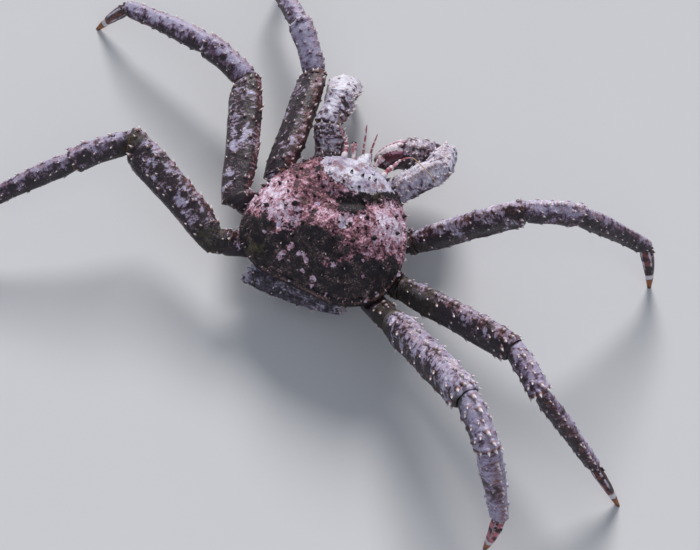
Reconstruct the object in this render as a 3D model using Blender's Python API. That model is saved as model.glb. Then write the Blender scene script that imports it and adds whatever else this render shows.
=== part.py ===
"""Red king crab, Paralithodes camtschaticus: a life-size, still model of an adult.

Metres, +Z up, floor at z = 0. The head points along -Y and the crab's right side lies along -X.
Each limb segment is an oval tube between two joints. Both of its ends are mitred to the bend there,
so neighbours meet face to face across a narrow gap. The shell is a dome in polar form round its
centre. Spines are small cones, each fused into the piece that it grows from.
"""

import math
import random

import bmesh
import bpy
import numpy as np

# Driving dimensions
GAP = 0.0003
BODY_CENTRE = np.array((0.0085, 0.0505, 0.0))
UP = np.array((0.0, 0.0, 1.0))
DRAWS = random.Random(11)

# Shell: a dome over a flat underside
SHELL_CENTRE = np.array((0.0, -0.005))
SHELL_UNDERSIDE = 0.078
SHELL_RIM = 0.0865
SHELL_RIM_SLOPE = -0.060
SHELL_RISE = 0.050
SHELL_SHARES = (0.05, 0.11, 0.17, 0.24, 0.32, 0.41, 0.50, 0.59, 0.68, 0.76, 0.83, 0.89, 0.94, 0.98, 1.0)
SHELL_TURNS = 40
# Degrees turned from the head end, distance from the centre to the margin
SHELL_OUTLINE = (
    (0, 0.083),
    (13, 0.082),
    (30, 0.083),
    (50, 0.083),
    (74, 0.087),
    (93, 0.093),
    (110, 0.101),
    (125, 0.105),
    (140, 0.101),
    (155, 0.094),
    (168, 0.087),
    (180, 0.085),
)
# Swollen regions of the back: centre x and y, radius along x and y, rise
SHELL_LOBES = (
    (0.000, -0.051, 0.030, 0.026, 0.010),
    (0.000, 0.023, 0.018, 0.017, 0.009),
    (-0.050, 0.012, 0.026, 0.040, 0.010),
    (0.050, 0.012, 0.026, 0.040, 0.010),
    (0.000, 0.062, 0.018, 0.010, 0.003),
)
GROOVE_DEPTH = 0.007
GROOVE_WIDTH = 0.006
NECK_GROOVE_Y = -0.016
NECK_GROOVE_CURVE = 10.0
NECK_GROOVE_REACH = 0.055
# A groove on each side of the heart region: nearest x, y there, how fast it turns out, half length
FLANK_GROOVE = (0.023, 0.024, 6.0, 0.038)
ROSTRUM_ROOT = np.array((0.0, -0.072, 0.100))
ROSTRUM_TIP = np.array((0.0, -0.104, 0.105))
ROSTRUM_RADIUS = 0.011
ROSTRUM_SIDES = 8
ROSTRUM_SPINELET = (0.0065, 0.0028)
ROSTRUM_SPINELET_FEET = ((-0.006, -0.079, 0.1035), (0.006, -0.079, 0.1035))

# Spines of the shell: spacing over the back, length and root radius there and at the margin
BACK_SPACING = 0.0175
BACK_SPINE = (0.0068, 0.0036)
BACK_SHARE = 0.88
SPINE_STRAY = 0.003
MARGIN_SPINE = (0.0090, 0.0036)
MARGIN_SHARE = 0.955
MARGIN_SPINES = 13
MARGIN_RANGE = (27.0, 158.0)
MARGIN_STRAY = 2.5

# Thorax: level, share of the shell's outline
THORAX_LEVELS = (
    (0.042, 0.46),
    (0.047, 0.56),
    (0.057, 0.72),
    (0.068, 0.81),
    (SHELL_UNDERSIDE - GAP, 0.84),
)
THORAX_TURNS = 28

# Abdomen, folded under the body: outer path y and z and half width, from the shell's rear rim on
ABDOMEN_STATIONS = (
    (0.0570, 0.0774, 0.046),
    (0.0715, 0.0745, 0.054),
    (0.0815, 0.0640, 0.059),
    (0.0800, 0.0480, 0.058),
    (0.0660, 0.0345, 0.054),
    (0.0400, 0.0285, 0.049),
    (0.0050, 0.0275, 0.043),
    (-0.0240, 0.0300, 0.030),
    (-0.0380, 0.0345, 0.010),
)
ABDOMEN_THICKNESS = 0.0136
ABDOMEN_CROWN = 0.004
ABDOMEN_OFFSET_X = 0.005
ABDOMEN_SKEW = 0.007
ABDOMEN_PLATES = 6
ABDOMEN_PLATE_STEP = 0.0012
ABDOMEN_PARTS = (("abdomen_base", 0.0, 0.42), ("abdomen_flap", 0.42, 0.84), ("telson", 0.84, 1.0))

# Joints of each walking leg: root, ischium, knee, wrist, ankle, and the tip just below the floor
LEG_JOINTS = {
    "leg_1_right": (
        (-0.036, -0.026, 0.056),
        (-0.093, -0.036, 0.073),
        (-0.198, -0.088, 0.154),
        (-0.249, -0.118, 0.139),
        (-0.323, -0.156, 0.060),
        (-0.344, -0.141, -0.002),
    ),
    "leg_2_right": (
        (-0.038, 0.004, 0.056),
        (-0.106, 0.025, 0.076),
        (-0.254, 0.055, 0.127),
        (-0.301, 0.089, 0.131),
        (-0.379, 0.106, 0.050),
        (-0.421, 0.117, -0.002),
    ),
    "leg_3_right": (
        (-0.034, 0.030, 0.056),
        (-0.115, 0.069, 0.084),
        (-0.237, 0.139, 0.155),
        (-0.280, 0.178, 0.149),
        (-0.314, 0.207, 0.054),
        (-0.311, 0.230, -0.002),
    ),
    "leg_1_left": (
        (0.036, -0.026, 0.056),
        (0.088, -0.040, 0.075),
        (0.117, -0.183, 0.066),
        (0.160, -0.226, 0.085),
        (0.239, -0.289, 0.051),
        (0.229, -0.330, -0.002),
    ),
    "leg_2_left": (
        (0.038, 0.004, 0.056),
        (0.115, 0.010, 0.080),
        (0.181, -0.132, 0.076),
        (0.245, -0.151, 0.079),
        (0.363, -0.165, 0.052),
        (0.404, -0.148, -0.002),
    ),
    "leg_3_left": (
        (0.034, 0.030, 0.056),
        (0.110, 0.070, 0.078),
        (0.249, 0.016, 0.103),
        (0.298, 0.065, 0.095),
        (0.374, 0.147, 0.063),
        (0.389, 0.150, -0.002),
    ),
}
LEG_SEGMENTS = ("base", "merus", "carpus", "propodus", "dactyl")
LEG_BENDS = (1, 2, 3)
# Degrees by which a leg's back is turned towards its right-hand side
LEG_ROLLS = {"leg_1_left": 37.0}

# Joints of each claw arm: root, ischium, elbow, wrist, knuckle, and the tip of the fingers
CLAW_JOINTS = {
    "claw_right": (
        (-0.024, -0.044, 0.056),
        (-0.039, -0.085, 0.061),
        (-0.076, -0.129, 0.081),
        (-0.069, -0.152, 0.063),
        (-0.021, -0.135, 0.058),
        (0.003, -0.118, 0.047),
    ),
    "claw_left": (
        (0.024, -0.044, 0.056),
        (0.045, -0.079, 0.062),
        (0.065, -0.118, 0.089),
        (0.069, -0.157, 0.086),
        (0.082, -0.195, 0.046),
        (0.090, -0.214, 0.006),
    ),
}
CLAW_SEGMENTS = ("base", "merus", "carpus", "palm")
CLAW_CRESTS = {"claw_right": (0.0, 0.0, 1.0), "claw_left": (-0.887, -0.462, 0.0)}

# Thickness and height of each segment where it is fullest, and how much fuller it starts than it ends
SECTIONS = {
    "leg": {
        "base": (0.026, 0.030, 0.0),
        "merus": (0.025, 0.040, 0.0),
        "carpus": (0.023, 0.029, 0.0),
        "propodus": (0.019, 0.025, 0.0),
        "dactyl": (0.0125, 0.0155, 0.0),
    },
    "claw_right": {
        "base": (0.025, 0.028, 0.0),
        "merus": (0.030, 0.034, 0.0),
        "carpus": (0.030, 0.033, 0.0),
        "palm": (0.034, 0.044, 0.0),
    },
    "claw_left": {
        "base": (0.025, 0.028, 0.0),
        "merus": (0.028, 0.035, 0.1),
        "carpus": (0.029, 0.032, 0.0),
        "palm": (0.028, 0.038, 0.0),
    },
}
# Segments that are stouter than their kind
STOUT_SECTIONS = {
    ("leg_1_left", "merus"): (0.029, 0.044, 0.20),
    ("leg_2_left", "merus"): (0.026, 0.042, 0.15),
    ("leg_3_right", "merus"): (0.034, 0.042, 0.05),
    ("leg_3_right", "propodus"): (0.025, 0.027, 0.10),
}
# Share of that section along each kind of segment
PROFILES = {
    "base": ((0.0, 0.90), (0.5, 0.98), (0.9, 1.0), (1.0, 0.90)),
    "merus": ((0.0, 0.76), (0.12, 0.90), (0.45, 0.96), (0.82, 1.0), (0.94, 0.99), (1.0, 0.85)),
    "carpus": ((0.0, 0.66), (0.14, 0.84), (0.5, 0.93), (0.84, 1.04), (0.94, 1.02), (1.0, 0.84)),
    "propodus": ((0.0, 0.72), (0.1, 0.92), (0.3, 1.0), (0.7, 0.84), (0.93, 0.76), (1.0, 0.66)),
    "dactyl": ((0.0, 0.80), (0.12, 0.98), (0.4, 0.86), (0.75, 0.56), (1.0, 0.26)),
    "palm": ((0.0, 0.60), (0.16, 0.84), (0.5, 1.0), (0.85, 0.98), (1.0, 0.86)),
}
RINGS = {
    "base": (0.0, 0.35, 0.7, 0.92, 1.0),
    "merus": (0.0, 0.1, 0.3, 0.55, 0.8, 0.94, 1.0),
    "carpus": (0.0, 0.14, 0.45, 0.8, 0.94, 1.0),
    "propodus": (0.0, 0.1, 0.3, 0.55, 0.8, 0.94, 1.0),
    "dactyl": (0.0, 0.12, 0.35, 0.62, 0.84, 1.0),
    "palm": (0.0, 0.14, 0.35, 0.6, 0.85, 1.0),
}
BOWS = {"base": 0.0, "merus": 0.003, "carpus": 0.0025, "propodus": 0.002, "dactyl": 0.002, "palm": 0.0}
SIDES = 10
# Below 1 squares the oval a little
ROUNDNESS = 0.86
MITRE_REACH = 1.5
# How much a sharp bend narrows the ends that meet there
BEND_NARROWING = 0.4

# Spine rows: degrees from the crest, first and last share of the length, count, length
SPINE_ROWS = {
    "base": ((0, 0.84, 0.84, 1, 0.0050),),
    "merus": (
        (0, 0.12, 0.85, 6, 0.0072),
        (42, 0.22, 0.80, 4, 0.0056),
        (-42, 0.16, 0.84, 4, 0.0056),
        (120, 0.34, 0.80, 2, 0.0048),
        (-120, 0.28, 0.74, 2, 0.0048),
    ),
    "carpus": (
        (0, 0.22, 0.76, 3, 0.0070),
        (52, 0.34, 0.70, 2, 0.0058),
        (-52, 0.30, 0.66, 2, 0.0058),
    ),
    "propodus": (
        (0, 0.14, 0.86, 5, 0.0052),
        (64, 0.20, 0.76, 3, 0.0042),
        (-64, 0.14, 0.70, 3, 0.0042),
        (180, 0.34, 0.70, 2, 0.0038),
    ),
    "dactyl": ((0, 0.14, 0.14, 1, 0.0030),),
    "palm": (
        (0, 0.20, 0.88, 5, 0.0056),
        (40, 0.30, 0.84, 4, 0.0044),
        (-40, 0.26, 0.80, 4, 0.0044),
        (84, 0.40, 0.86, 3, 0.0036),
        (-84, 0.40, 0.86, 3, 0.0036),
    ),
}
# Spines round the far rim: share of the length, degrees from the crest, length
RIM_SPINES = {
    "merus": (0.93, (-96, -46, 0, 46, 96), 0.0078),
    "carpus": (0.92, (-80, -34, 10, 60), 0.0072),
}
SPINE_RADIUS = 0.42
SPINE_SIDES = 5
SPINE_LEAN = 0.65
RIM_LEAN = 0.8
SPINE_CLEARANCE = 0.0006

# Fingers: distance from the hand's middle plane and half height as shares of the palm's height,
# and half thickness as a share of the palm's thickness
FINGER_OFFSET = ((0.0, 0.245), (0.5, 0.25), (0.8, 0.17), (1.0, 0.075))
FINGER_HEIGHT = ((0.0, 0.215), (0.4, 0.19), (0.75, 0.12), (1.0, 0.035))
FINGER_THICKNESS = ((0.0, 0.36), (0.4, 0.30), (0.75, 0.19), (1.0, 0.06))
FINGER_SHARES = (0.0, 0.2, 0.42, 0.64, 0.84, 0.96)
FINGER_SINK = 0.012
FINGER_SIDES = 8

# Eyes, feelers and mouthparts: x, y, z and radius along each, from inside the head outwards
HEAD_PIECES = {
    "eye_left": (
        (0.014, -0.070, 0.085, 0.0030),
        (0.017, -0.091, 0.087, 0.0030),
        (0.020, -0.098, 0.089, 0.0032),
        (0.022, -0.102, 0.090, 0.0046),
        (0.024, -0.106, 0.091, 0.0047),
        (0.026, -0.109, 0.092, 0.0026),
    ),
    "eye_right": (
        (-0.009, -0.070, 0.086, 0.0028),
        (-0.010, -0.091, 0.089, 0.0028),
        (-0.011, -0.097, 0.091, 0.0030),
        (-0.012, -0.101, 0.092, 0.0044),
        (-0.013, -0.105, 0.093, 0.0045),
        (-0.014, -0.108, 0.094, 0.0025),
    ),
    "antennule_left": (
        (0.006, -0.070, 0.081, 0.0026),
        (0.008, -0.096, 0.086, 0.0024),
        (0.011, -0.105, 0.094, 0.0021),
        (0.012, -0.110, 0.103, 0.0018),
        (0.014, -0.117, 0.113, 0.0013),
        (0.015, -0.121, 0.121, 0.0006),
    ),
    "antennule_right": (
        (-0.003, -0.070, 0.081, 0.0026),
        (-0.002, -0.096, 0.086, 0.0024),
        (0.001, -0.104, 0.093, 0.0021),
        (0.001, -0.108, 0.102, 0.0018),
        (0.000, -0.113, 0.112, 0.0013),
        (-0.001, -0.116, 0.121, 0.0006),
    ),
    "antenna_left": (
        (0.024, -0.066, 0.084, 0.0050),
        (0.029, -0.094, 0.086, 0.0046),
        (0.033, -0.104, 0.089, 0.0034),
        (0.038, -0.108, 0.094, 0.0016),
        (0.047, -0.115, 0.101, 0.0010),
        (0.049, -0.116, 0.112, 0.0008),
        (0.047, -0.113, 0.128, 0.0007),
        (0.043, -0.107, 0.146, 0.0004),
    ),
    "antenna_right": (
        (-0.022, -0.064, 0.084, 0.0046),
        (-0.024, -0.092, 0.086, 0.0044),
        (-0.029, -0.104, 0.089, 0.0032),
        (-0.033, -0.112, 0.092, 0.0016),
        (-0.044, -0.118, 0.097, 0.0010),
        (-0.058, -0.112, 0.103, 0.0008),
        (-0.073, -0.104, 0.107, 0.0007),
        (-0.088, -0.094, 0.112, 0.0004),
    ),
    "maxilliped_left": (
        (0.010, -0.052, 0.056, 0.0070),
        (0.013, -0.080, 0.062, 0.0066),
        (0.015, -0.093, 0.062, 0.0060),
        (0.015, -0.099, 0.053, 0.0052),
        (0.012, -0.098, 0.041, 0.0042),
        (0.009, -0.093, 0.034, 0.0024),
    ),
    "maxilliped_right": (
        (-0.010, -0.052, 0.056, 0.0070),
        (-0.013, -0.080, 0.062, 0.0066),
        (-0.015, -0.093, 0.062, 0.0060),
        (-0.015, -0.099, 0.053, 0.0052),
        (-0.012, -0.098, 0.041, 0.0042),
        (-0.009, -0.093, 0.034, 0.0024),
    ),
}
HEAD_SIDES = 7

# Colours and roughness by kind of piece
FINISHES = {
    "carapace": ((0.21, 0.09, 0.10), 0.75),
    "thorax": ((0.42, 0.27, 0.24), 0.70),
    "abdomen": ((0.16, 0.11, 0.11), 0.75),
    "limb": ((0.26, 0.16, 0.20), 0.65),
    "dactyl": ((0.20, 0.06, 0.04), 0.55),
    "head": ((0.55, 0.22, 0.18), 0.55),
    "eye": ((0.02, 0.02, 0.02), 0.15),
}


def clear_scene():
    """Removes everything the scene starts with."""
    for thing in list(bpy.data.objects):
        bpy.data.objects.remove(thing, do_unlink=True)


def unit(vector):
    """The vector at length one."""
    vector = np.asarray(vector, float)
    return vector / np.linalg.norm(vector)


def through(places, knots):
    """A smooth curve through (place, value) knots, read at the places."""
    at, values = np.array(knots, float).T
    slopes = np.gradient(values, at)
    places = np.clip(places, at[0], at[-1])
    left = np.clip(np.searchsorted(at, places, side="right") - 1, 0, len(at) - 2)
    width = at[left + 1] - at[left]
    s = (places - at[left]) / width
    rise = values[left + 1] - values[left]
    bend_left = slopes[left] * width - rise
    bend_right = rise - slopes[left + 1] * width
    return values[left] + rise * s + s * (1 - s) * (bend_left * (1 - s) + bend_right * s)


def closed_object(name, rings, first_pole=None, last_pole=None):
    """A closed mesh object through rings of points, each end shut by a pole or by a flat face."""
    rings = np.asarray(rings, float)
    count, around = rings.shape[:2]
    points = [tuple(point) for point in rings.reshape(-1, 3) + BODY_CENTRE]
    faces = []
    for ring in range(count - 1):
        for i in range(around):
            a = ring * around + i
            b = ring * around + (i + 1) % around
            faces.append((a, b, b + around, a + around))
    for ring, pole in ((0, first_pole), (count - 1, last_pole)):
        loop = [ring * around + i for i in range(around)]
        if pole is None:
            faces.append(tuple(loop))
            continue
        points.append(tuple(np.asarray(pole, float) + BODY_CENTRE))
        faces += [(loop[i], loop[(i + 1) % around], len(points) - 1) for i in range(around)]
    mesh = bpy.data.meshes.new(name)
    mesh.from_pydata(points, [], faces)
    shape = bmesh.new()
    shape.from_mesh(mesh)
    bmesh.ops.recalc_face_normals(shape, faces=shape.faces)
    shape.to_mesh(mesh)
    shape.free()
    thing = bpy.data.objects.new(name, mesh)
    bpy.context.scene.collection.objects.link(thing)
    return thing


def combine(body, pieces, operation, solver="EXACT"):
    """Joins the pieces to the body, or cuts them from it, in one Boolean, and removes the pieces."""
    group = bpy.data.collections.new(body.name + "_pieces")
    bpy.context.scene.collection.children.link(group)
    for piece in pieces:
        group.objects.link(piece)
    modifier = body.modifiers.new("combine", "BOOLEAN")
    modifier.operation = operation
    modifier.operand_type = "COLLECTION"
    modifier.collection = group
    modifier.solver = solver
    graph = bpy.context.evaluated_depsgraph_get()
    mesh = bpy.data.meshes.new_from_object(body.evaluated_get(graph))
    body.modifiers.clear()
    body.data = mesh
    for piece in pieces:
        bpy.data.objects.remove(piece, do_unlink=True)
    bpy.data.collections.remove(group)
    keep_largest(body)


def keep_largest(body):
    """Leaves only the closed surface that encloses the most."""
    shape = bmesh.new()
    shape.from_mesh(body.data)
    bmesh.ops.triangulate(shape, faces=shape.faces)
    waiting = set(shape.faces)
    surfaces = []
    while waiting:
        edge_of_search = [waiting.pop()]
        surface = []
        while edge_of_search:
            face = edge_of_search.pop()
            surface.append(face)
            for edge in face.edges:
                for other in edge.link_faces:
                    if other in waiting:
                        waiting.remove(other)
                        edge_of_search.append(other)
        surfaces.append(surface)
    surfaces.sort(key=enclosed, reverse=True)
    dropped = [face for surface in surfaces[1:] for face in surface]
    bmesh.ops.delete(shape, geom=dropped, context="FACES")
    shape.to_mesh(body.data)
    shape.free()


def enclosed(faces):
    """Volume within a closed surface of triangles."""
    corners = np.array([[vertex.co for vertex in face.verts] for face in faces])
    return abs(np.linalg.det(corners).sum()) / 6


def finish(body, kind):
    """Shades a piece smooth and gives it its own material."""
    colour, roughness = FINISHES[kind]
    material = bpy.data.materials.new(body.name)
    material.use_nodes = True
    shader = material.node_tree.nodes["Principled BSDF"]
    shader.inputs["Base Color"].default_value = (*colour, 1.0)
    shader.inputs["Roughness"].default_value = roughness
    shader.inputs["Metallic"].default_value = 0.0
    body.data.materials.clear()
    body.data.materials.append(material)
    body.data.shade_smooth()
    body.data.set_sharp_from_angle(angle=math.radians(38))


def spine(foot, normal, lean, length, radius):
    """A closed cone that leans, with its root sunk under the surface it stands on."""
    direction = unit(normal + lean)
    across = unit(np.cross(direction, UP + 0.3 * normal))
    over = np.cross(direction, across)
    root = foot - direction * (0.9 * radius + 0.0008)
    turns = np.arange(SPINE_SIDES)[:, None] * math.tau / SPINE_SIDES
    ring = root + radius * (np.cos(turns) * across + np.sin(turns) * over)
    return closed_object("spine", [ring], last_pole=foot + direction * length)


# Shell


def outline(turn):
    """Distance from the shell's centre to its margin, at a turn in radians from the head end."""
    degrees = np.degrees(turn) % 360.0
    return through(np.minimum(degrees, 360.0 - degrees), SHELL_OUTLINE)


def shell_place(turn, share):
    """Where a share of the way out at a turn lies: x and y."""
    reach = outline(turn) * share
    return SHELL_CENTRE[0] + reach * np.sin(turn), SHELL_CENTRE[1] - reach * np.cos(turn)


def rim_height(y):
    """Height of the shell's margin, which falls towards the tail."""
    return SHELL_RIM + SHELL_RIM_SLOPE * y


def shell_height(x, y):
    """Height of the back: a dome, with swollen regions and with grooves between them."""
    turn = np.arctan2(x - SHELL_CENTRE[0], SHELL_CENTRE[1] - y)
    reach = np.hypot(x - SHELL_CENTRE[0], y - SHELL_CENTRE[1])
    share = np.clip(reach / outline(turn), 0.0, 1.0)
    dome = SHELL_RISE * (1 - share**2.3) ** 0.6
    swell = 0.0
    for centre_x, centre_y, radius_x, radius_y, rise in SHELL_LOBES:
        across, along = (x - centre_x) / radius_x, (y - centre_y) / radius_y
        swell = swell + rise * np.exp(-(across**2) - along**2)
    # The neck groove curves forward on both sides behind the stomach region
    slope = 2 * NECK_GROOVE_CURVE * x
    neck = (y - NECK_GROOVE_Y + NECK_GROOVE_CURVE * x**2) / np.hypot(1.0, slope)
    neck_cut = np.exp(-((neck / GROOVE_WIDTH) ** 2)) * np.exp(-((x / NECK_GROOVE_REACH) ** 4))
    # A groove on each side parts the heart region from the gill regions
    nearest, middle, curve, half_length = FLANK_GROOVE
    flank = np.abs(x) - nearest - curve * (y - middle) ** 2
    flank_cut = np.exp(-((flank / GROOVE_WIDTH) ** 2)) * np.exp(-(((y - middle) / half_length) ** 4))
    relief = swell - GROOVE_DEPTH * neck_cut - 0.7 * GROOVE_DEPTH * flank_cut
    return rim_height(y) + dome + relief * (1 - share**4)


def shell_normal(x, y):
    """Outward direction of the back at x and y."""
    step = 0.001
    slope_x = (shell_height(x + step, y) - shell_height(x - step, y)) / (2 * step)
    slope_y = (shell_height(x, y + step) - shell_height(x, y - step)) / (2 * step)
    return unit((-slope_x, -slope_y, 1.0))


def shell_object(name, grow=0.0):
    """The closed shell: its back, a rolled rim and a flat underside, grown all over if asked."""
    turns = np.arange(SHELL_TURNS) * math.tau / SHELL_TURNS
    rings = []
    for share in SHELL_SHARES:
        x, y = shell_place(turns, share)
        z = shell_height(x, y) + grow
        spread = 1 + grow / outline(turns)
        rings.append(np.stack([x * spread, y * spread, z], axis=1))
    for share, level in ((0.995, 0.5), (0.965, 0.0)):
        x, y = shell_place(turns, share)
        low = SHELL_UNDERSIDE - grow
        z = low + (rim_height(y) - low) * level
        spread = 1 + grow / outline(turns)
        rings.append(np.stack([x * spread, y * spread, z], axis=1))
    top = (*SHELL_CENTRE, float(shell_height(*SHELL_CENTRE)) + grow)
    bottom = (*SHELL_CENTRE, SHELL_UNDERSIDE - grow)
    return closed_object(name, rings, first_pole=top, last_pole=bottom)


def margin_spines():
    """Spines along both sides of the margin, longest towards the head's corners."""
    pieces = []
    length, radius = MARGIN_SPINE
    for sign in (-1, 1):
        for degrees in np.linspace(*MARGIN_RANGE, MARGIN_SPINES):
            turn = math.radians(sign * (degrees + DRAWS.uniform(-MARGIN_STRAY, MARGIN_STRAY)))
            x, y = shell_place(turn, MARGIN_SHARE)
            foot = np.array((x, y, shell_height(x, y)))
            outward = np.array((math.sin(turn), -math.cos(turn), 0.0))
            size = DRAWS.uniform(0.8, 1.1) * (1.15 - 0.3 * degrees / 180)
            pieces.append(spine(foot, shell_normal(x, y), 0.9 * outward, size * length, size * radius))
    return pieces


def back_spines():
    """Spines spread over the back in staggered rows, fewer in the grooves."""
    pieces = []
    length, radius = BACK_SPINE
    row_gap = BACK_SPACING * math.sqrt(3) / 2
    rows = np.arange(-0.078, 0.084, row_gap)
    for index, row in enumerate(rows):
        for column in np.arange(-6, 7) + 0.5 * (index % 2):
            x = column * BACK_SPACING + DRAWS.uniform(-SPINE_STRAY, SPINE_STRAY)
            y = row + DRAWS.uniform(-SPINE_STRAY, SPINE_STRAY)
            turn = math.atan2(x - SHELL_CENTRE[0], SHELL_CENTRE[1] - y)
            share = math.hypot(x - SHELL_CENTRE[0], y - SHELL_CENTRE[1]) / outline(turn)
            size = DRAWS.uniform(0.75, 1.2)
            if share > BACK_SHARE:
                continue
            foot = np.array((x, y, shell_height(x, y)))
            lean = np.array((x, y + 0.02, 0.0)) * 3.0
            pieces.append(spine(foot, shell_normal(x, y), lean, size * length, size * radius))
    return pieces


def rostrum():
    """The beak between the eyes: a stout cone with two spinelets on its back."""
    axis = unit(ROSTRUM_TIP - ROSTRUM_ROOT)
    turns = np.arange(ROSTRUM_SIDES)[:, None] * math.tau / ROSTRUM_SIDES
    across = np.array((1.0, 0.0, 0.0))
    over = np.cross(axis, across)
    ring = ROSTRUM_ROOT + ROSTRUM_RADIUS * (np.cos(turns) * across + 0.8 * np.sin(turns) * over)
    pieces = [closed_object("rostrum", [ring], last_pole=ROSTRUM_TIP)]
    for foot in ROSTRUM_SPINELET_FEET:
        pieces.append(spine(np.array(foot), UP, 0.7 * axis, *ROSTRUM_SPINELET))
    return pieces


def build_carapace():
    """The shell with its beak and spines."""
    shell = shell_object("carapace")
    combine(shell, rostrum() + margin_spines() + back_spines(), "UNION")
    finish(shell, "carapace")


# Thorax and abdomen


def thorax_object(name, grow=0.0):
    """The body under the shell, narrowing to the breastplate."""
    turns = np.arange(THORAX_TURNS) * math.tau / THORAX_TURNS
    rings = []
    for level, share in THORAX_LEVELS:
        x, y = shell_place(turns, share)
        outward = np.stack([np.sin(turns), -np.cos(turns)], axis=1) * grow
        z = np.full_like(x, level + (grow if level == THORAX_LEVELS[-1][0] else -grow))
        rings.append(np.stack([x + outward[:, 0], y + outward[:, 1], z], axis=1))
    return closed_object(name, rings)


def cutters():
    """The thorax and the shell, grown by the gap, to cut from what grows out of them."""
    return [thorax_object("thorax_cutter", GAP), shell_object("shell_cutter", GAP)]


def abdomen_ring(share, shift):
    """One closed ring across the folded abdomen, at a share of its outer path."""
    count = len(ABDOMEN_STATIONS) - 1
    places = np.linspace(0.0, 1.0, count + 1)
    y_knots = [(p, s[0]) for p, s in zip(places, ABDOMEN_STATIONS)]
    z_knots = [(p, s[1]) for p, s in zip(places, ABDOMEN_STATIONS)]
    width_knots = [(p, s[2]) for p, s in zip(places, ABDOMEN_STATIONS)]
    step = 0.002
    y, z = through(share, y_knots), through(share, z_knots)
    ahead = min(share + step, 1.0)
    behind = max(share - step, 0.0)
    tangent = unit(
        (
            0.0,
            through(ahead, y_knots) - through(behind, y_knots),
            through(ahead, z_knots) - through(behind, z_knots),
        )
    )
    inward = np.array((0.0, tangent[2], -tangent[1]))
    plates = math.cos(math.tau * ABDOMEN_PLATES * share)
    width = through(share, width_knots) * (1 + 0.025 * plates)
    centre = np.array((ABDOMEN_OFFSET_X, y, z)) + tangent * shift
    across_out = np.linspace(-1.0, 1.0, 9)
    across_in = np.linspace(0.9, -0.9, 7)
    crown = ABDOMEN_CROWN * (1 - across_out**2) + ABDOMEN_PLATE_STEP * plates * (1 - across_out**4)
    depth = ABDOMEN_THICKNESS * (1 - 0.75 * across_in**6)
    sideways = np.array((width, ABDOMEN_SKEW, 0.0))
    outer = centre + np.outer(across_out, sideways) - np.outer(crown, inward)
    inner = centre + np.outer(across_in, sideways) + np.outer(depth, inward)
    return np.concatenate([outer, inner])


def build_abdomen():
    """The abdomen in three lengths, folded round the rear and under the breastplate."""
    for name, first, last in ABDOMEN_PARTS:
        shares = np.linspace(first, last, max(4, round((last - first) * 22)))
        shifts = np.zeros(len(shares))
        shifts[0] = GAP / 2
        shifts[-1] = -GAP / 2
        part = closed_object(name, [abdomen_ring(*pair) for pair in zip(shares, shifts)])
        combine(part, cutters(), "DIFFERENCE")
        finish(part, "abdomen")


def build_thorax():
    """The body under the shell."""
    finish(thorax_object("thorax"), "thorax")


# Limbs


def oval(centre, axis, crest, plane, half_height, half_thickness, turns):
    """Points round an oval whose rim lies in a plane; the outline seen along the axis keeps its size."""
    side = np.cross(axis, crest)
    cosine, sine = np.cos(turns), np.sin(turns)
    up = half_height * np.sign(cosine) * np.abs(cosine) ** ROUNDNESS
    out = half_thickness * np.sign(sine) * np.abs(sine) ** ROUNDNESS
    offset = np.outer(up, crest) + np.outer(out, side)
    slide = -(offset @ plane) / (plane @ axis)
    return centre + offset + np.outer(slide, axis)


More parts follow.
